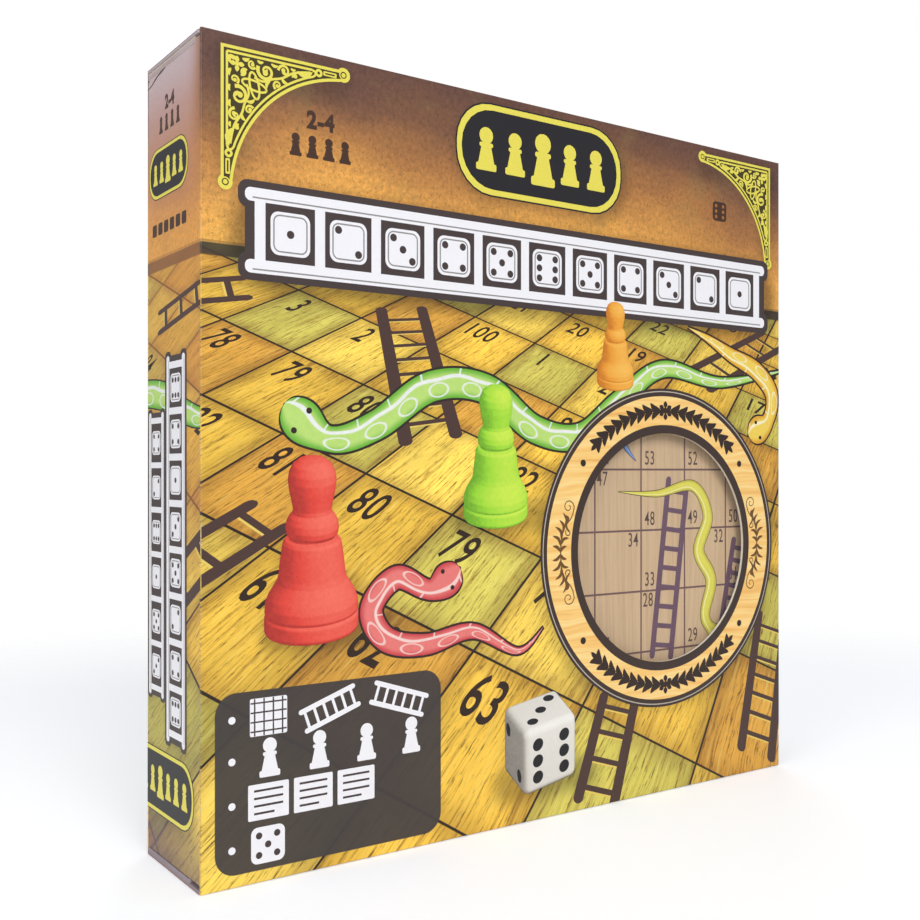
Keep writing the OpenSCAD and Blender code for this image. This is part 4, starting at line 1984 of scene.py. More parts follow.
@dataclass
class Plaque:
    """A dark plaque with a gold border and gold pawns."""

    centre: Point
    width: float
    height: float
    pawns: int = 5

    def place(self, a: float, b: float) -> Point:
        """Beside and over the plaque's middle, in the picture."""
        return self.centre[0] + a, self.centre[1] + b

    def draw(self, name: str, plane: Matrix, slot: str, crop: Optional[Crop] = None) -> None:
        """Lays the border, the field and the pawns; crop cuts it at a fold.

        Args:
            name: what the names of its pieces start with.
            plane: the printed face.
            slot: the record's material slot.
            crop: the rectangle that it ends at.
        """
        r = min(self.width, self.height) * 0.45
        k = min(self.height / 34.8, self.width / 60)
        layers = [Sketch(name + part, self.place).plate(
            (0, 0), self.width - inset * k, self.height - inset * k, r - less * k)
            for part, inset, less in (("_rim", 0.0, 0.0), ("_border", 1.2, 0.5), ("_field", 5.4, 1.6))]
        gold = Sketch(name + "_pawns", self.place)
        step = (self.width - 14 * k) / self.pawns
        for i in range(self.pawns):
            beside = i - (self.pawns - 1) / 2
            size = min(self.height * 0.6, step * 1.5) * (0.8 if beside else 1.0)
            pawn_shape(gold, (beside * step, -size / 2), size)
        for i, (sketch, ink) in enumerate(zip((*layers, gold), (INK_BLACK, INK_GOLD, INK_BLACK, INK_GOLD))):
            if crop:
                sketch.trim(*crop)
            sketch.lay(plane, Layer.PLAQUES + Step.PLAQUE * i, ink, slot)


@dataclass
class SquaresPrint:
    """What lies on the pictured squares of one face: a number in each, and ladders that lean over them."""

    # Each ladder's foot, top and gauge in squares; and what the squares end at, just under the brown ground
    LADDERS: ClassVar[Tuple[Tuple[Point, Point, float], ...]] = (
        ((84, 142), (72, 186), 0.5), ((160, 2), (172, 40), 0.26), ((-22, 92), (22, 116), 0.42),
        ((216, 168), (262, 188), 0.5), ((-36, 180), (14, 188), 0.5), ((252, 8), (262, 66), 0.26))
    END: ClassVar[float] = 199.0
    # Rows and columns that can show, how far across they are numbered, and how near a number may come to the
    # window's middle and to a ladder
    SPREAD: ClassVar[range] = range(-8, 16)
    REACH: ClassVar[Point] = (-60.0, 330.0)
    WINDOW_ROOM: ClassVar[float] = 58.0
    LADDER_ROOM: ClassVar[float] = 11.0

    name: str
    slot: str
    crop: Crop

    def draw(self, plane: Matrix, with_panel: bool = False) -> None:
        """Lays the numbers and the ladders; with_panel leaves the dark panel's place free."""
        self.numbers(with_panel).lay(plane, Layer.NUMBERS, INK_NUMBER, self.slot)
        self.ladders(plane)

    def numbers(self, with_panel: bool) -> Sketch:
        """Draws a plain number in each square that shows.

        Args:
            with_panel: whether the dark panel's place is left free.

        Returns:
            The sketch.
        """
        sketch = Sketch(self.name + "_numbers", VIEW.flat)
        cx, cz = CARTON.window
        for row in self.SPREAD:
            for column in self.SPREAD:
                spot = (column + 0.3, row + 0.72)
                across, up = VIEW.flat(*spot)
                in_view = self.REACH[0] < across < self.REACH[1] and -12 < up < self.END + 1
                in_window = math.hypot(across - cx, up - cz) < self.WINDOW_ROOM
                on_panel = with_panel and -6 < across < 92 and up < 66
                on_ladder = any(self.beside((across, up), foot, top) < self.LADDER_ROOM
                                for foot, top, _ in self.LADDERS)
                if not in_view or in_window or on_panel or on_ladder:
                    continue
                count = (row + 4) * 10 + (column + 4 if row % 2 == 0 else 5 - column)
                sketch.number(str(1 + count % 100), spot, 0.33, 0.62, 0.014)
        low, high, bottom, top = self.crop
        # The front's own numbers reach a millimetre further up than the rest
        return sketch.trim(low, high, bottom, top + 1 if with_panel else top)

    @staticmethod
    def beside(spot: Point, start: Point, end: Point) -> float:
        """How far a place is from the line between two others.

        Args:
            spot: the place.
            start: the line's start.
            end: the line's end.

        Returns:
            The distance in millimetres.
        """
        a, way = Vector(start), Vector(end) - Vector(start)
        share = min(1.0, max(0.0, (Vector(spot) - a).dot(way) / way.length_squared))
        return (Vector(spot) - a - way * share).length

    def ladders(self, plane: Matrix) -> None:
        """Lays the ladders and the light edges of their rungs.

        Args:
            plane: the printed face.
        """
        sketch, lights = Sketch(self.name + "_ladders", VIEW.flat), Sketch(self.name + "_ladder_lights", VIEW.flat)
        for foot, top, gauge in self.LADDERS:
            a, b = Vector(VIEW.ground(*foot)), Vector(VIEW.ground(*top))
            rungs = max(3, int((b - a).length / (gauge * 0.66)))
            ladder = Ladder(tuple(a), tuple(b), gauge, gauge * 0.27, rungs, 0.1, 0.5)
            ladder.draw(sketch)
            ladder.steps(lights, gauge * 0.045)
        lights.trim(*self.crop).lay(plane, Layer.RUNG_LIGHTS, INK_LADDER_LIT, self.slot)
        sketch.trim(*self.crop).lay(plane, Layer.LADDERS, INK_LADDER, self.slot)


@dataclass
class FrontPrint:
    """Everything that is printed on the carton's front over its ground."""

    slot: str = "printed_front"
    crop: Crop = (0.3, WIDTH - 0.3, 0.3, SquaresPrint.END)

    def draw(self) -> None:
        """Lays the front's print from the ground up."""
        plane = CARTON.plane(Side.FRONT)
        SquaresPrint("front", self.slot, self.crop).draw(plane, True)
        self.snakes(plane)
        self.pawns(plane)
        foot = (132.5, 17.0)
        Die(foot).draw(plane, Layer.DIE, close_view(foot, 2.07, 27.5))
        WindowRing(CARTON.window, CARTON.window_r).draw(plane, self.slot)
        CornerBracket((6.5, 263.3), 1, -1).draw("bracket_left", plane, self.slot)
        CornerBracket((260.9, 263.6), -1, -1, 44.6).draw("bracket_right", plane, self.slot)
        Frieze((14.5, 206.5), 242.5, 27.0, (1, 2, 3, 4, 5, 6, 5, 4, 3, 2, 1)).draw(
            "frieze", plane, self.slot, Layer.FRIEZES)
        Plaque((133.7, 247.0), 79.0, 34.0).draw("plaque", plane, self.slot)
        self.small_marks(plane)
        self.contents(plane)

    def snakes(self, plane: Matrix) -> None:
        """Lays the three snakes.

        Args:
            plane: the printed face.
        """
        Snake(((28, 152), (44, 141), (62, 146), (84, 160), (108, 160), (130, 146), (152, 144), (172, 158), (196, 172),
               (230, 168), (274, 176)), 10.5, SNAKE_GREEN, 1.35).draw(
            "snake_green", plane, Layer.SNAKES, self.slot, 0.85, self.crop)
        Snake(((96, 96), (84, 89), (70, 94), (60, 84), (66, 73), (82, 70), (102, 73), (122, 64), (134, 72)),
              8.5, SNAKE_PINK, 1.4).draw("snake_pink", plane, Layer.SNAKES, self.slot, 0.8, self.crop)
        Snake(((247, 146), (259, 152), (262, 164), (252, 174), (236, 180), (222, 186), (210, 190)),
              8.5, SNAKE_YELLOW, 1.4).draw("snake_yellow", plane, Layer.UPPER_SNAKE, self.slot, 0.8, self.crop)

    def pawns(self, plane: Matrix) -> None:
        """Presses the three pawns.

        Args:
            plane: the printed face.
        """
        for name, foot, scale, *tones in (
                ("print_pawn_green", (112.0, 114.0), 1.95, (96, 158, 40), (158, 222, 58), (212, 242, 84)),
                ("print_pawn_red", (38.0, 79.0), 2.3, (158, 44, 42), (230, 72, 60), (250, 118, 100)),
                ("print_pawn_orange", (170.0, 165.0), 1.3, (196, 110, 34), (240, 160, 52), (254, 196, 92))):
            view = close_view(foot, scale, 19.0)
            gx, gy = view.table(*view.ground(*foot))
            outline = [(r * 1.12, h) for r, h in PAWN_OUTLINE]
            Portrait(name, view).turned(outline, Vector((gx, gy, 0))).press(
                plane, Layer.PAWNS, FormPrint(name, *tones), self.slot)

    def small_marks(self, plane: Matrix) -> None:
        """Lays the small pictograms under the brackets.

        Args:
            plane: the printed face.
        """
        marks = Sketch("small_marks").number("2-4", (41.0, 244.6), 5.6, 0.9, 0.045)
        for i in range(4):
            pawn_shape(marks, (32.0 + i * 6.0, 232.4), 7.4)
        x, z = 229.0, 240.4
        marks.plate((x, z), 8.2, 8.2, 1.6)
        marks.lay(plane, Layer.MARKS, INK_MARKS, self.slot)
        pips = Sketch("small_marks_pips")
        for a, b in PIP_PLACES[6]:
            pips.disc((x + a * 2.1, z + b * 2.3), 0.75, segments=16)
        pips.lay(plane, Layer.PLATES, Ink("ink_small_pips", (168, 106, 52)), self.slot)

    def contents(self, plane: Matrix) -> None:
        """Lays white pictograms of what the carton holds on the dark panel.

        Args:
            plane: the printed face.
        """
        white, dark = Sketch("contents_white"), Sketch("contents_dark")
        board, ladders, pawns, die = 52.5, 52.3, 33.2, 11.8
        sheets, left = 25.6, 22.6
        for z in (board, 39.5, sheets, die):
            white.disc((10.2, z), 1.2, segments=20)
        white.plate((left, board), 12.8, 12.0, 0.6)
        for k in (-1.5, -0.5, 0.5, 1.5):
            x, z = left + k * 3.2, board + k * 3.0
            dark.line([(x, 46.6), (x, 58.4)], 0.5).line([(16.4, z), (28.8, z)], 0.5)
        for start, end, rise in ((35.0, 54.0, 3.3), (61.0, 81.0, -3.3)):
            Ladder((start, ladders - rise), (end, ladders + rise), 6.6, 1.7, 6).draw(white)
        for i in range(4):
            pawn_shape(white, (23.0 + i * 17.6, pawns), 12.4)
        for x in (left, 38.4, 54.2):
            white.plate((x, sheets), 14.0, 11.4, 0.5)
            for k in range(4):
                z = 29.2 - k * 2.4
                dark.line([(x - 5.0, z), (x + 5.0 - (k == 3) * 3, z)], 0.7)
        white.plate((22.4, die), 11.6, 11.6, 2.2)
        for a, b in PIP_PLACES[5]:
            dark.disc((22.4 + a * 3.1, die + b * 3.1), 1.1, segments=18)
        white.lay(plane, Layer.PLATES, INK_WHITE, self.slot)
        dark.lay(plane, Layer.FIGURES_DARK, INK_OUTLINE, self.slot)


@dataclass
class SidePrint:
    """What is printed on the spine and on the right side over their ground; low is where the side starts."""

    side: Side
    name: str
    low: float
    slot: str = "printed_spine"

    def draw(self) -> None:
        """Lays the side's print."""
        plane = CARTON.plane(self.side)
        middle, high = self.low + DEPTH / 2, self.low + DEPTH
        crop = (self.low + 0.6, high - 0.6, 3.0, SquaresPrint.END)
        SquaresPrint(self.name, self.slot, crop).draw(plane)
        path = ((-60, 158), (-30, 157), (-8, 155), (12, 149), (30, 147), (60, 152))
        Snake([(middle + x, z) for x, z in path], 9.5, SNAKE_GREEN).draw(
            self.name + "_snake", plane, Layer.SIDE_SNAKES, self.slot, 0.5, crop)
        Frieze((middle + 2.6, 42.0), 126.0, 16.5, (6, 4, 2, 5, 3, 1, 4, 6), True).draw(
            self.name + "_frieze", plane, self.slot, Layer.FRIEZES)
        Frieze((middle - 15.4, 55.0), 95.0, 14.2, (3, 5, 1, 6, 2, 4), True).draw(
            self.name + "_small_frieze", plane, self.slot, Layer.FRIEZES)
        Plaque((middle - 4.4, 229.5), 36.0, 17.0).draw(self.name + "_plaque", plane, self.slot)
        Plaque((middle - 11.5, 27.0), 60.0, 22.0, 7).draw(
            self.name + "_low_plaque", plane, self.slot, (self.low + 0.3, high - 0.3, 3.0, 60.0))
        marks = Sketch(self.name + "_marks").number("2-4", (middle - 3.0, 251.6), 4.4, 0.95, 0.05)
        for i in range(4):
            pawn_shape(marks, (middle - 11.0 + i * 5.2, 242.4), 5.6)
        for i in range(6):
            marks.plate((middle - 17.0 + i * 5.4, 211.0), 4.0, 4.0, 0.8)
        marks.lay(plane, Layer.MARKS, INK_MARKS, self.slot)
        if self.side is Side.SPINE:
            self.crumple(plane)

    def crumple(self, plane: Matrix) -> None:
        """Lays a thin dark line of painted shade along a crease across the top of the spine, and a dark spot of painted
        shade at its rear corner.

        Args:
            plane: the printed face.
        """
        # Painted shade of the crease and of the rear corner, drawn as dark ink.
        path = [(-48.4, 260.2), (-44.0, 260.9), (-39.0, 262.4), (-33.5, 263.1), (-29.0, 264.0), (-25.2, 264.3)]
        crease = Sketch(self.name + "_crumple").ribbon(
            Track(path), lambda s: 0.18 + 0.5 * math.sin(math.pi * min(1.0, s * 1.1)) ** 0.7, 60)
        crease.disc((-47.6, 262.9), 0.8, flat=0.6, segments=14)
        crease.lay(plane, Layer.MARKS, Ink("ink_crumple", (84, 62, 62), 0.4), self.slot)


@dataclass
class BackPrint:
    """What is printed on the carton's back and on its lid."""

    slot: str = "printed_back"

    def draw(self) -> None:
        """Lays the back's ladders, snakes, brackets, plaque and frieze, then the lid's frieze."""
        plane = CARTON.plane(Side.BACK)
        crop = (0.6, WIDTH - 0.6, 3.0, SquaresPrint.END)
        SquaresPrint("back", self.slot, crop).draw(plane)
        Snake(((40, 186), (58, 176), (80, 178), (100, 166), (126, 160), (150, 172), (178, 176), (200, 160), (226, 152),
               (262, 160)), 10.0, SNAKE_GREEN, 1.35).draw(
            "back_snake_green", plane, Layer.SNAKES, self.slot, 0.55, crop)
        Snake(((214, 122), (200, 130), (182, 124), (164, 134), (140, 128), (118, 136), (96, 126), (70, 132), (48, 120)),
              9.0, SNAKE_PINK, 1.4).draw("back_snake_pink", plane, Layer.SNAKES, self.slot, 0.5, crop)
        for name, x, across in (("back_bracket_left", 6.5, 1), ("back_bracket_right", 260.5, -1)):
            CornerBracket((x, 263.3), across, -1).draw(name, plane, self.slot)
        Plaque((WIDTH / 2, 247.0), 79.0, 34.0).draw("back_plaque", plane, self.slot)
        Frieze((40.0, 213.0), 187.0, 20.0, (6, 5, 4, 3, 2, 1, 2, 3, 4, 5, 6)).draw(
            "back_frieze", plane, self.slot, Layer.FRIEZES)
        self.panel(plane)
        Frieze((42.0, 25.0), 183.0, 20.0, (1, 3, 5, 2, 4, 6, 4, 2, 5, 3, 1)).draw(
            "lid_frieze", CARTON.plane(Side.TOP), "printed_top", Layer.PLAQUES, "lid")

    def panel(self, plane: Matrix) -> None:
        """Lays a dark panel with the whole game board pictured small beside the four pawns and the die.

        Args:
            plane: the printed face.
        """
        Sketch("back_panel_field").plate((WIDTH / 2, 62.0), 204.0, 88.0, 7.0).lay(
            plane, Layer.PLAQUES, INK_OUTLINE, self.slot)
        white, dark = Sketch("back_white"), Sketch("back_dark")
        x, z, cell = 46.0, 25.0, 7.4
        white.plate((x + 5 * cell, z + 5 * cell), 10 * cell, 10 * cell)
        for k in range(11):
            across, up = x + k * cell, z + k * cell
            dark.line([(across, z), (across, z + 10 * cell)], 0.5).line([(x, up), (x + 10 * cell, up)], 0.5)
        for ends in (((1.5, 0.5), (3.5, 3.5)), ((7.5, 1.5), (6.5, 5.5)), ((2.5, 5.5), (1.5, 8.5)),
                     ((8.5, 6.5), (7.5, 9.5))):
            Ladder(*((x + a * cell, z + b * cell) for a, b in ends), 3.6, 0.9, 7).draw(dark)
        for i in range(4):
            pawn_shape(white, (146.0 + i * 22.0, 66.0), 26.0)
        die, sheets = (146.0, 40.0), (180.0, 206.0)
        white.plate(die, 20.0, 20.0, 3.6)
        for across in sheets:
            white.plate((across, 40.0), 22.0, 26.0, 0.8)
        for a, b in PIP_PLACES[5]:
            dark.disc((die[0] + a * 5.4, die[1] + b * 5.4), 1.8, segments=24)
        for k in range(5):
            for across in sheets:
                up = 49.0 - k * 4.4
                dark.line([(across - 8, up), (across + 8 - (k == 4) * 6, up)], 0.9)
        white.lay(plane, Layer.PANEL_WHITE, INK_WHITE, self.slot)
        dark.lay(plane, Layer.PANEL_DARK, INK_OUTLINE, self.slot)


@dataclass
class Sleeve:
    """The carton's printed panels."""

    bracket_shadows: Tuple[Shadow, ...] = ((28.0, 258.0, 44.0, 9.0, 0.3), (239.0, 258.0, 44.0, 9.0, 0.3))
    front_shadows: Tuple[Shadow, ...] = (
        (136.2, 204.5, 252.0, 33.0, 0.62), (135.2, 244.4, 80.0, 34.0, 0.4), (10.0, 240.0, 9.0, 42.0, 0.3),
        (258.0, 240.0, 8.0, 42.0, 0.3), (116.0, 113.5, 44.0, 10.0, 0.5), (44.0, 78.0, 46.0, 10.0, 0.5),
        (136.0, 14.5, 48.0, 11.0, 0.5), (197.0, 97.6, 128.0, 126.0, 0.35))
    back_shadows: Tuple[Shadow, ...] = ((135.2, 244.4, 80.0, 34.0, 0.4), (133.5, 58.0, 206.0, 86.0, 0.45))

    @staticmethod
    def side_shadows(middle: float) -> Tuple[Shadow, ...]:
        """The soft shadows of a narrow side, by its middle.

        Args:
            middle: the side's middle, in its picture.

        Returns:
            The shadows.
        """
        return tuple((middle + across, *rest) for across, *rest in (
            (-4.4, 228.5, 35.0, 17.0, 0.35), (2.6, 104.0, 17.0, 128.0, 0.4), (-16.6, 101.0, 13.0, 95.0, 0.4),
            (-11.5, 24.0, 60.0, 22.0, 0.45)))

    def dress(self) -> None:
        """Replaces the four panels and the lid by printed ones a hair thinner, so that their print can lie on them."""
        front, back = self.front_shadows + self.bracket_shadows, self.back_shadows + self.bracket_shadows
        spine, right = self.side_shadows(-DEPTH / 2), self.side_shadows(WIDTH + DEPTH / 2)
        top = CARTON.height
        for node, side, slot, finish in (
                ("front_panel", Side.FRONT, "printed_front",
                 GroundPrint("ground_front", Side.FRONT, front, (46.3, 32.5, 83.4, 57.0))),
                ("left_side_panel", Side.SPINE, "printed_spine", GroundPrint("ground_spine", Side.SPINE, spine)),
                ("right_side_panel", Side.RIGHT, "printed_spine", GroundPrint("ground_right", Side.RIGHT, right)),
                ("back_panel", Side.BACK, "printed_back", GroundPrint("ground_back", Side.BACK, back)),
                # The lid's raw edges are bare board tinted lilac, a painted sheen.
                ("top_lid", Side.TOP, "printed_top",
                 PlainPrint("print_lid_and_edge_sheen", 2, top - 0.5, top - 0.2, whole=True, pulp=(190, 170, 178)))):
            self.panel(node, side, slot, finish)

    @staticmethod
    def panel(node: str, side: Side, slot: str, printed: Finish) -> None:
        """Copies one panel, draws its printed face in, and gives its cut edges and inside bare board.

        Args:
            node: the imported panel.
            side: its printed face.
            slot: the record's material slot.
            printed: the finish of that face.
        """
        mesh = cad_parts[node].data
        bm = bmesh.new()
        bm.from_mesh(mesh)
        bmesh.ops.remove_doubles(bm, verts=bm.verts, dist=WELD_PANEL)
        for v in bm.verts:
            v.co.x = min(max(v.co.x, (CARTON.left + CARD_INSET) * MM), (CARTON.right - CARD_INSET) * MM)
            v.co.y = min(max(v.co.y, (CARTON.front + CARD_INSET) * MM), (CARTON.back - CARD_INSET) * MM)
            v.co.z = min(v.co.z, (CARTON.height - CARD_INSET) * MM)
        bmesh.ops.remove_doubles(bm, verts=bm.verts, dist=WELD_PANEL)
        bm.normal_update()
        cx, cz = CARTON.window[0] + CARTON.left, CARTON.window[1]
        for f in bm.faces:
            at = f.calc_center_median() / MM
            near = math.hypot(at.x - cx, at.z - cz) < CARTON.window_r + 1
            rim = side is Side.FRONT and abs(f.normal.y) < 0.3 and near
            top = f.normal.z > 0.7 and side in (Side.FRONT, Side.BACK)
            f.material_index = 1 if rim or top or f.normal.dot(Vector(side.value)) < -0.5 else 0
        body = "lid" if side is Side.TOP else "carton"
        piece = finish_piece(node + "_printed", bm, slot, body, printed, RAW_EDGE)
        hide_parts(node)


@dataclass
class Creases:
    """The thin outer ply that bridges each fold of the closure."""

    # Thickness of the ply, and how deep its middle lies under the board's faces
    ply: float = 0.22
    under: float = 0.13

    def dress(self) -> None:
        """Lays a strip over each fold."""
        left, right, top, front = CARTON.left, CARTON.right, CARTON.height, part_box("top_lid")[0].y / MM
        flap_low, flap_high = (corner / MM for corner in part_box("top_dust_flap_left"))
        print_top = PlainPrint("crease_print", 2, -10.0, -9.0, whole=True)
        # The side strips are lilac all over, a painted sheen that matches the spine's top.
        side_sheen_print = PlainPrint("crease_print_side_sheen", 2, -10.0, -9.0, high=(192, 174, 178), whole=True)
        self.over_edge("lid", CARTON.back, -1, top, (left + 0.3, right - 0.3), False, print_top)
        u = self.under
        path = ((front + 1.6, top - u), (front + u, top - u - 0.1), (front + u, top - 0.9),
                (front + u + 0.12, top - 1.9))
        self.strip("crease_tongue", path, (left + 5, right - 5), False,
                   ((front, top - 0.4), (front, top - 1.2)), print_top)
        for edge, inward, body in ((left, 1, "dust_flap_left"), (-left, -1, "dust_flap_right")):
            self.over_edge(body, edge, inward, flap_high.z, (flap_low.y + 0.2, flap_high.y - 0.2), True,
                           side_sheen_print)

    def over_edge(self, name: str, edge: float, inward: int, top: float, span: Point, along_y: bool,
                  finish: Finish) -> None:
        """Lays a strip that comes up a wall and goes over its edge onto the flap, which starts inward of it.

        Args:
            name: the flap's name.
            edge: the wall's outer place.
            inward: 1 or -1, the way into the carton.
            top: the edge's height.
            span: where the strip starts and ends along the fold.
            along_y: whether the fold runs along Y.
            finish: its printed finish.
        """
        u = self.under
        path = [(edge + inward * a, top - b) for a, b in (
            (u, 2.4), (u, 1.5), (u, 1.0), (u + 0.3, u + 0.3), (1.0, u), (1.5, u), (2.0, u))]
        self.strip("crease_" + name, path, span, along_y,
                   ((edge, top - 1.3), (edge + inward * 0.9, top)), finish)

    def strip(self, name: str, path: Sequence[Point], span: Point, along_y: bool,
              bend: Tuple[Point, Point], finish: Finish) -> None:
        """Lays one strip.

        Args:
            name: its name.
            path: its section's middle line, outward place and height.
            span: where it starts and ends along the fold.
            along_y: whether the fold runs along Y.
            bend: where the bend starts and ends, in the section; the two points are worked out but not used.
            finish: its printed finish; its other face is bare board.
        """
        def whole(out: float, along: float, up: float) -> Triple:
            """A place of the section and along the fold, in the row frame's millimetres."""
            return (out, along, up) if along_y else (along, out, up)
        bm = Sketch(name).ribbon(Track(path), self.ply, 16).bm
        for v in bm.verts:
            v.co = whole(v.co.x, span[0], v.co.y)
        thicken(bm, whole(0, span[1] - span[0], 0))
        chord = Vector(path[-1]) - Vector(path[0])
        outward = Vector(whole(chord.y, 0, -chord.x) if chord.x < 0 else whole(-chord.y, 0, chord.x))
        for f in bm.faces:
            f.material_index = 1 if f.normal.dot(outward) < 0 else 0
        bm.transform(Matrix.Scale(MM, 4))
        piece = new_piece(name, bm, "printed_top", finish, RAW_EDGE)
        start, end = (tuple(value * MM for value in whole(out, 0, up)) for out, up in bend)
        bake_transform(piece)


@dataclass
class GameBoardPrint:
    """The wooden board's print: its grid, numbers, ladders and snakes."""

    origin: Point = (15.0, 7.2)
    square: float = 24.77
    slot: str = "board_wood"

    def at(self, column: float, row: float) -> Point:
        """A place in squares, in the picture's millimetres."""
        return self.origin[0] + column * self.square, self.origin[1] + row * self.square

    def draw(self) -> None:
        """Lays the board's print."""
        plane = CARTON.board_plane()
        lines = Sketch("board_lines")
        for k in range(11):
            lines.line([self.at(k, -0.016), self.at(k, 10.016)], 0.8)
            lines.line([self.at(-0.016, k), self.at(10.016, k)], 0.8)
        lines.lay(plane, Layer.BOARD_LINES, Ink("board_ink_line", (112, 78, 78), 0.2, 0.6), self.slot)
        self.numbers(plane)
        ladders = Sketch("board_ladders")
        for foot, top in (((7.46, 1.9), (7.84, 4.8)), ((8.98, 1.75), (9.42, 3.72)), ((1.4, 0.5), (2.6, 3.5)),
                          ((3.5, 5.5), (1.6, 8.5)), ((8.5, 7.4), (6.5, 9.5))):
            Ladder(self.at(*foot), self.at(*top), 10.6, 2.9, 9, 0.06, 0.7).draw(ladders)
        ladders.lay(plane, Layer.BOARD_LADDERS, Ink("board_ink_ladder", (104, 72, 94), 0.15, 0.6), self.slot)
        # So long from ring to ring that the body stays plain
        rings = 400.0
        yellow = SnakePrint("board_snake_yellow", (232, 224, 84), (198, 186, 62), (248, 244, 170), rings)
        blue = SnakePrint("board_snake_blue", (112, 158, 228), (74, 118, 196), (186, 214, 246), rings)
        for i, (finish, *squares) in enumerate((
                (yellow, (8.95, 2.02), (8.5, 2.45), (8.64, 3.1), (8.34, 3.62), (8.56, 4.2), (8.2, 4.72), (7.35, 4.6),
                 (6.5, 4.64)),
                (blue, (5.2, 6.7), (6.0, 6.3), (6.5, 5.8), (6.62, 5.42), (6.88, 5.14)),
                (yellow, (2.5, 9.3), (3.4, 8.6), (3.0, 7.4), (4.2, 6.6), (4.4, 5.4)),
                (blue, (0.6, 6.4), (1.3, 5.4), (0.6, 4.4), (1.2, 3.2)))):
            Snake([self.at(*square) for square in squares], 6.2, finish, 1.4).draw(
                "board_snake_%d" % (i + 1), plane, Layer.GOLD, self.slot, 0.25)

    def numbers(self, plane: Matrix) -> None:
        """Lays each square's number, which stands at the top where a snake or ladder takes its own place.

        Args:
            plane: the board's face.
        """
        numbers = Sketch("board_numbers")
        upper = {47: 0.13, 34: 0.8, 32: 0.8, 28: 0.13}
        for row in range(10):
            for column in range(10):
                count = row * 10 + (column + 1 if row % 2 == 0 else 10 - column)
                a, b = (upper[count], 0.84) if count in upper else (0.17, 0.18)
                x, z = self.at(column + a, row + b)
                numbers.number(str(count), (x + 0.6, z), 5.8, 0.68, 0.004)
        numbers.lay(plane, Layer.MARKS, Ink("board_ink_number", (84, 60, 56), 0.2, 0.6), self.slot)


@dataclass
class Contents:
    """The finishes of the CAD nodes that show as they are."""

    def dress(self) -> None:
        """Gives every carried-over node its finish."""
        grey = RawBoard("raw_board_grey", (196, 186, 172), (160, 148, 132))
        finishes: Dict[str, Finish] = {
            "bottom_outer_flap": PlainPrint("print_base", 2, 0.5, 0.1, low=(150, 96, 48), high=(150, 96, 48),
                                            pulp=(152, 140, 148)),
            "tuck_tongue": PlainPrint("print_tongue", 1, -22.3, -22.6, whole=True, lean=0.167),
            "glue_flap": grey, "bottom_dust_flap_left": grey, "bottom_dust_flap_right": grey,
            "top_dust_flap_left": grey, "top_dust_flap_right": grey,
            "bottom_inner_flap": RawBoard("raw_board_base", (160, 148, 154), (136, 124, 132)),
            "window_film": ClearFilm("clear_film"),
            "insert": RawBoard("insert_board", (226, 222, 214), (196, 188, 176)),
            "game_board": BoardWood("board_wood"),
            "pawn_green": PaintedWood("pawn_green", (146, 212, 46)),
            "pawn_red": PaintedWood("pawn_red", (226, 60, 54)),
            "pawn_orange": PaintedWood("pawn_orange", (240, 158, 46)),
            "pawn_blue": PaintedWood("pawn_blue", (48, 118, 204)),
            "die": DiePlastic("die_plastic"),
            "instruction_leaflet": Paper("leaflet_paper"),
        }
        for name, finish in finishes.items():
            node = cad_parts[name]
            node.data.materials.clear()
            node.data.materials.append(finish.material())
            LOG.info("%s: %s", name, finish.name)


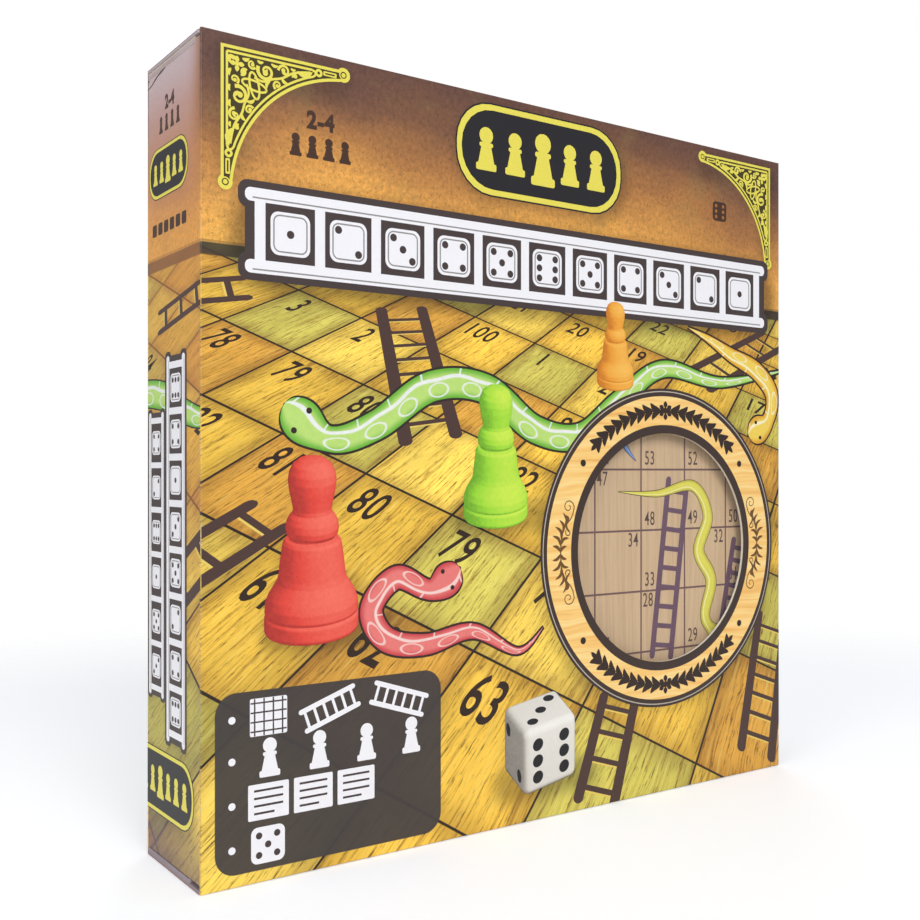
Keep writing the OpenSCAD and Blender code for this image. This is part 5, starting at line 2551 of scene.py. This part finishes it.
@dataclass
class Studio:
    """The camera, the floor and the lights."""

    eye: Triple = (-264.1, -359.0, 130.4)
    look: Triple = (0.5816, 0.8135, 0.0)
    lens: float = 44.43
    sensor: float = 36.0
    shift: Point = (-0.0313, 0.0121)
    # Half the floor's side, how far it lies under the carton, and what the lamps look at, in metres
    floor_half: float = 6.0
    floor_drop: float = 0.0002
    aimed_at: Triple = (0.0, 0.0, 0.13)

    def camera(self) -> None:
        """Sets the camera at the photograph's angle."""
        data = bpy.data.cameras.new("camera")
        data.lens, data.sensor_width = self.lens, self.sensor
        data.shift_x, data.shift_y = self.shift
        data.clip_start, data.clip_end = 0.01, 20.0
        camera = placed("camera", data)
        self.aim(camera, Vector(self.eye) * MM, Vector(self.look))
        bpy.context.scene.camera = camera

    @staticmethod
    def aim(thing: bpy.types.Object, place: Vector, way: Vector) -> None:
        """Puts a camera or lamp at its place and turns it to look along a direction.

        Args:
            thing: the camera or lamp.
            place: where it stands.
            way: the direction.
        """
        thing.location = place
        thing.rotation_mode = "QUATERNION"
        thing.rotation_quaternion = way.to_track_quat("-Z", "Y")

    def floor(self) -> None:
        """Adds a wide pale floor that the camera sees white, with the carton's shadow."""
        bm = bmesh.new()
        bmesh.ops.create_grid(bm, x_segments=1, y_segments=1, size=self.floor_half)
        floor = shaped("floor", bm)
        brew = Brew("floor")
        x, y, _ = brew.place()
        seen = brew.node("ShaderNodeLightPath", {}, {}, "Is Camera Ray")
        far = (x * x + y * y) ** 0.5
        pale = brew.grain((0.004, 0.004, 0.0))
        brew.gloss(Base_Color=brew.dim((238, 238, 238), 0.98 + pale * 0.03), Roughness=0.8, Specular_IOR_Level=0.1,
                   Alpha=far.fade(620, 320), Emission_Color=brew.mix(seen, (0, 0, 0), (150, 154, 161)),
                   Emission_Strength=1.0)
        floor.data.materials.append(brew.material)
        floor.location.z = -self.floor_drop

    def light(self, name: str, place: Triple, watts: float) -> None:
        """Adds one soft lamp, a metre wide, that looks at the carton's middle.

        Args:
            name: its name.
            place: where it hangs.
            watts: its power.
        """
        data = bpy.data.lights.new(name, "AREA")
        data.shape, data.size, data.energy = "DISK", 1.0, watts
        self.aim(placed(name, data), Vector(place), Vector(self.aimed_at) - Vector(place))

    def lights(self) -> None:
        """Adds the lamps and the world."""
        world = bpy.data.worlds.new("studio")
        bpy.context.scene.world = world
        world.use_nodes = True
        tree = world.node_tree
        ground = tree.nodes["Background"]
        path = tree.nodes.new("ShaderNodeLightPath")
        strength = tree.nodes.new("ShaderNodeMapRange")
        strength.inputs[3].default_value, strength.inputs[4].default_value = 0.42, 1.0
        tree.links.new(path.outputs["Is Camera Ray"], strength.inputs[0])
        tree.links.new(strength.outputs[0], ground.inputs["Strength"])
        ground.inputs["Color"].default_value = (1, 1, 1, 1)
        self.light("key", (-0.35, -1.5, 1.1), 15.5)
        self.light("fill", (-1.5, -0.5, 0.6), 9.0)
        self.light("rear", (0.9, 1.2, 1.3), 5.0)
        bpy.context.scene.view_settings.view_transform = "Standard"


def main() -> None:
    """Builds the set from the camera outwards."""
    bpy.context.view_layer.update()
    studio = Studio()
    studio.camera()
    studio.floor()
    studio.lights()
    Contents().dress()
    Sleeve().dress()
    GameBoardPrint().draw()
    FrontPrint().draw()
    SidePrint(Side.SPINE, "spine", -DEPTH).draw()
    SidePrint(Side.RIGHT, "right_side", WIDTH).draw()
    BackPrint().draw()
    Creases().dress()


if __name__ == "__main__":
    main()
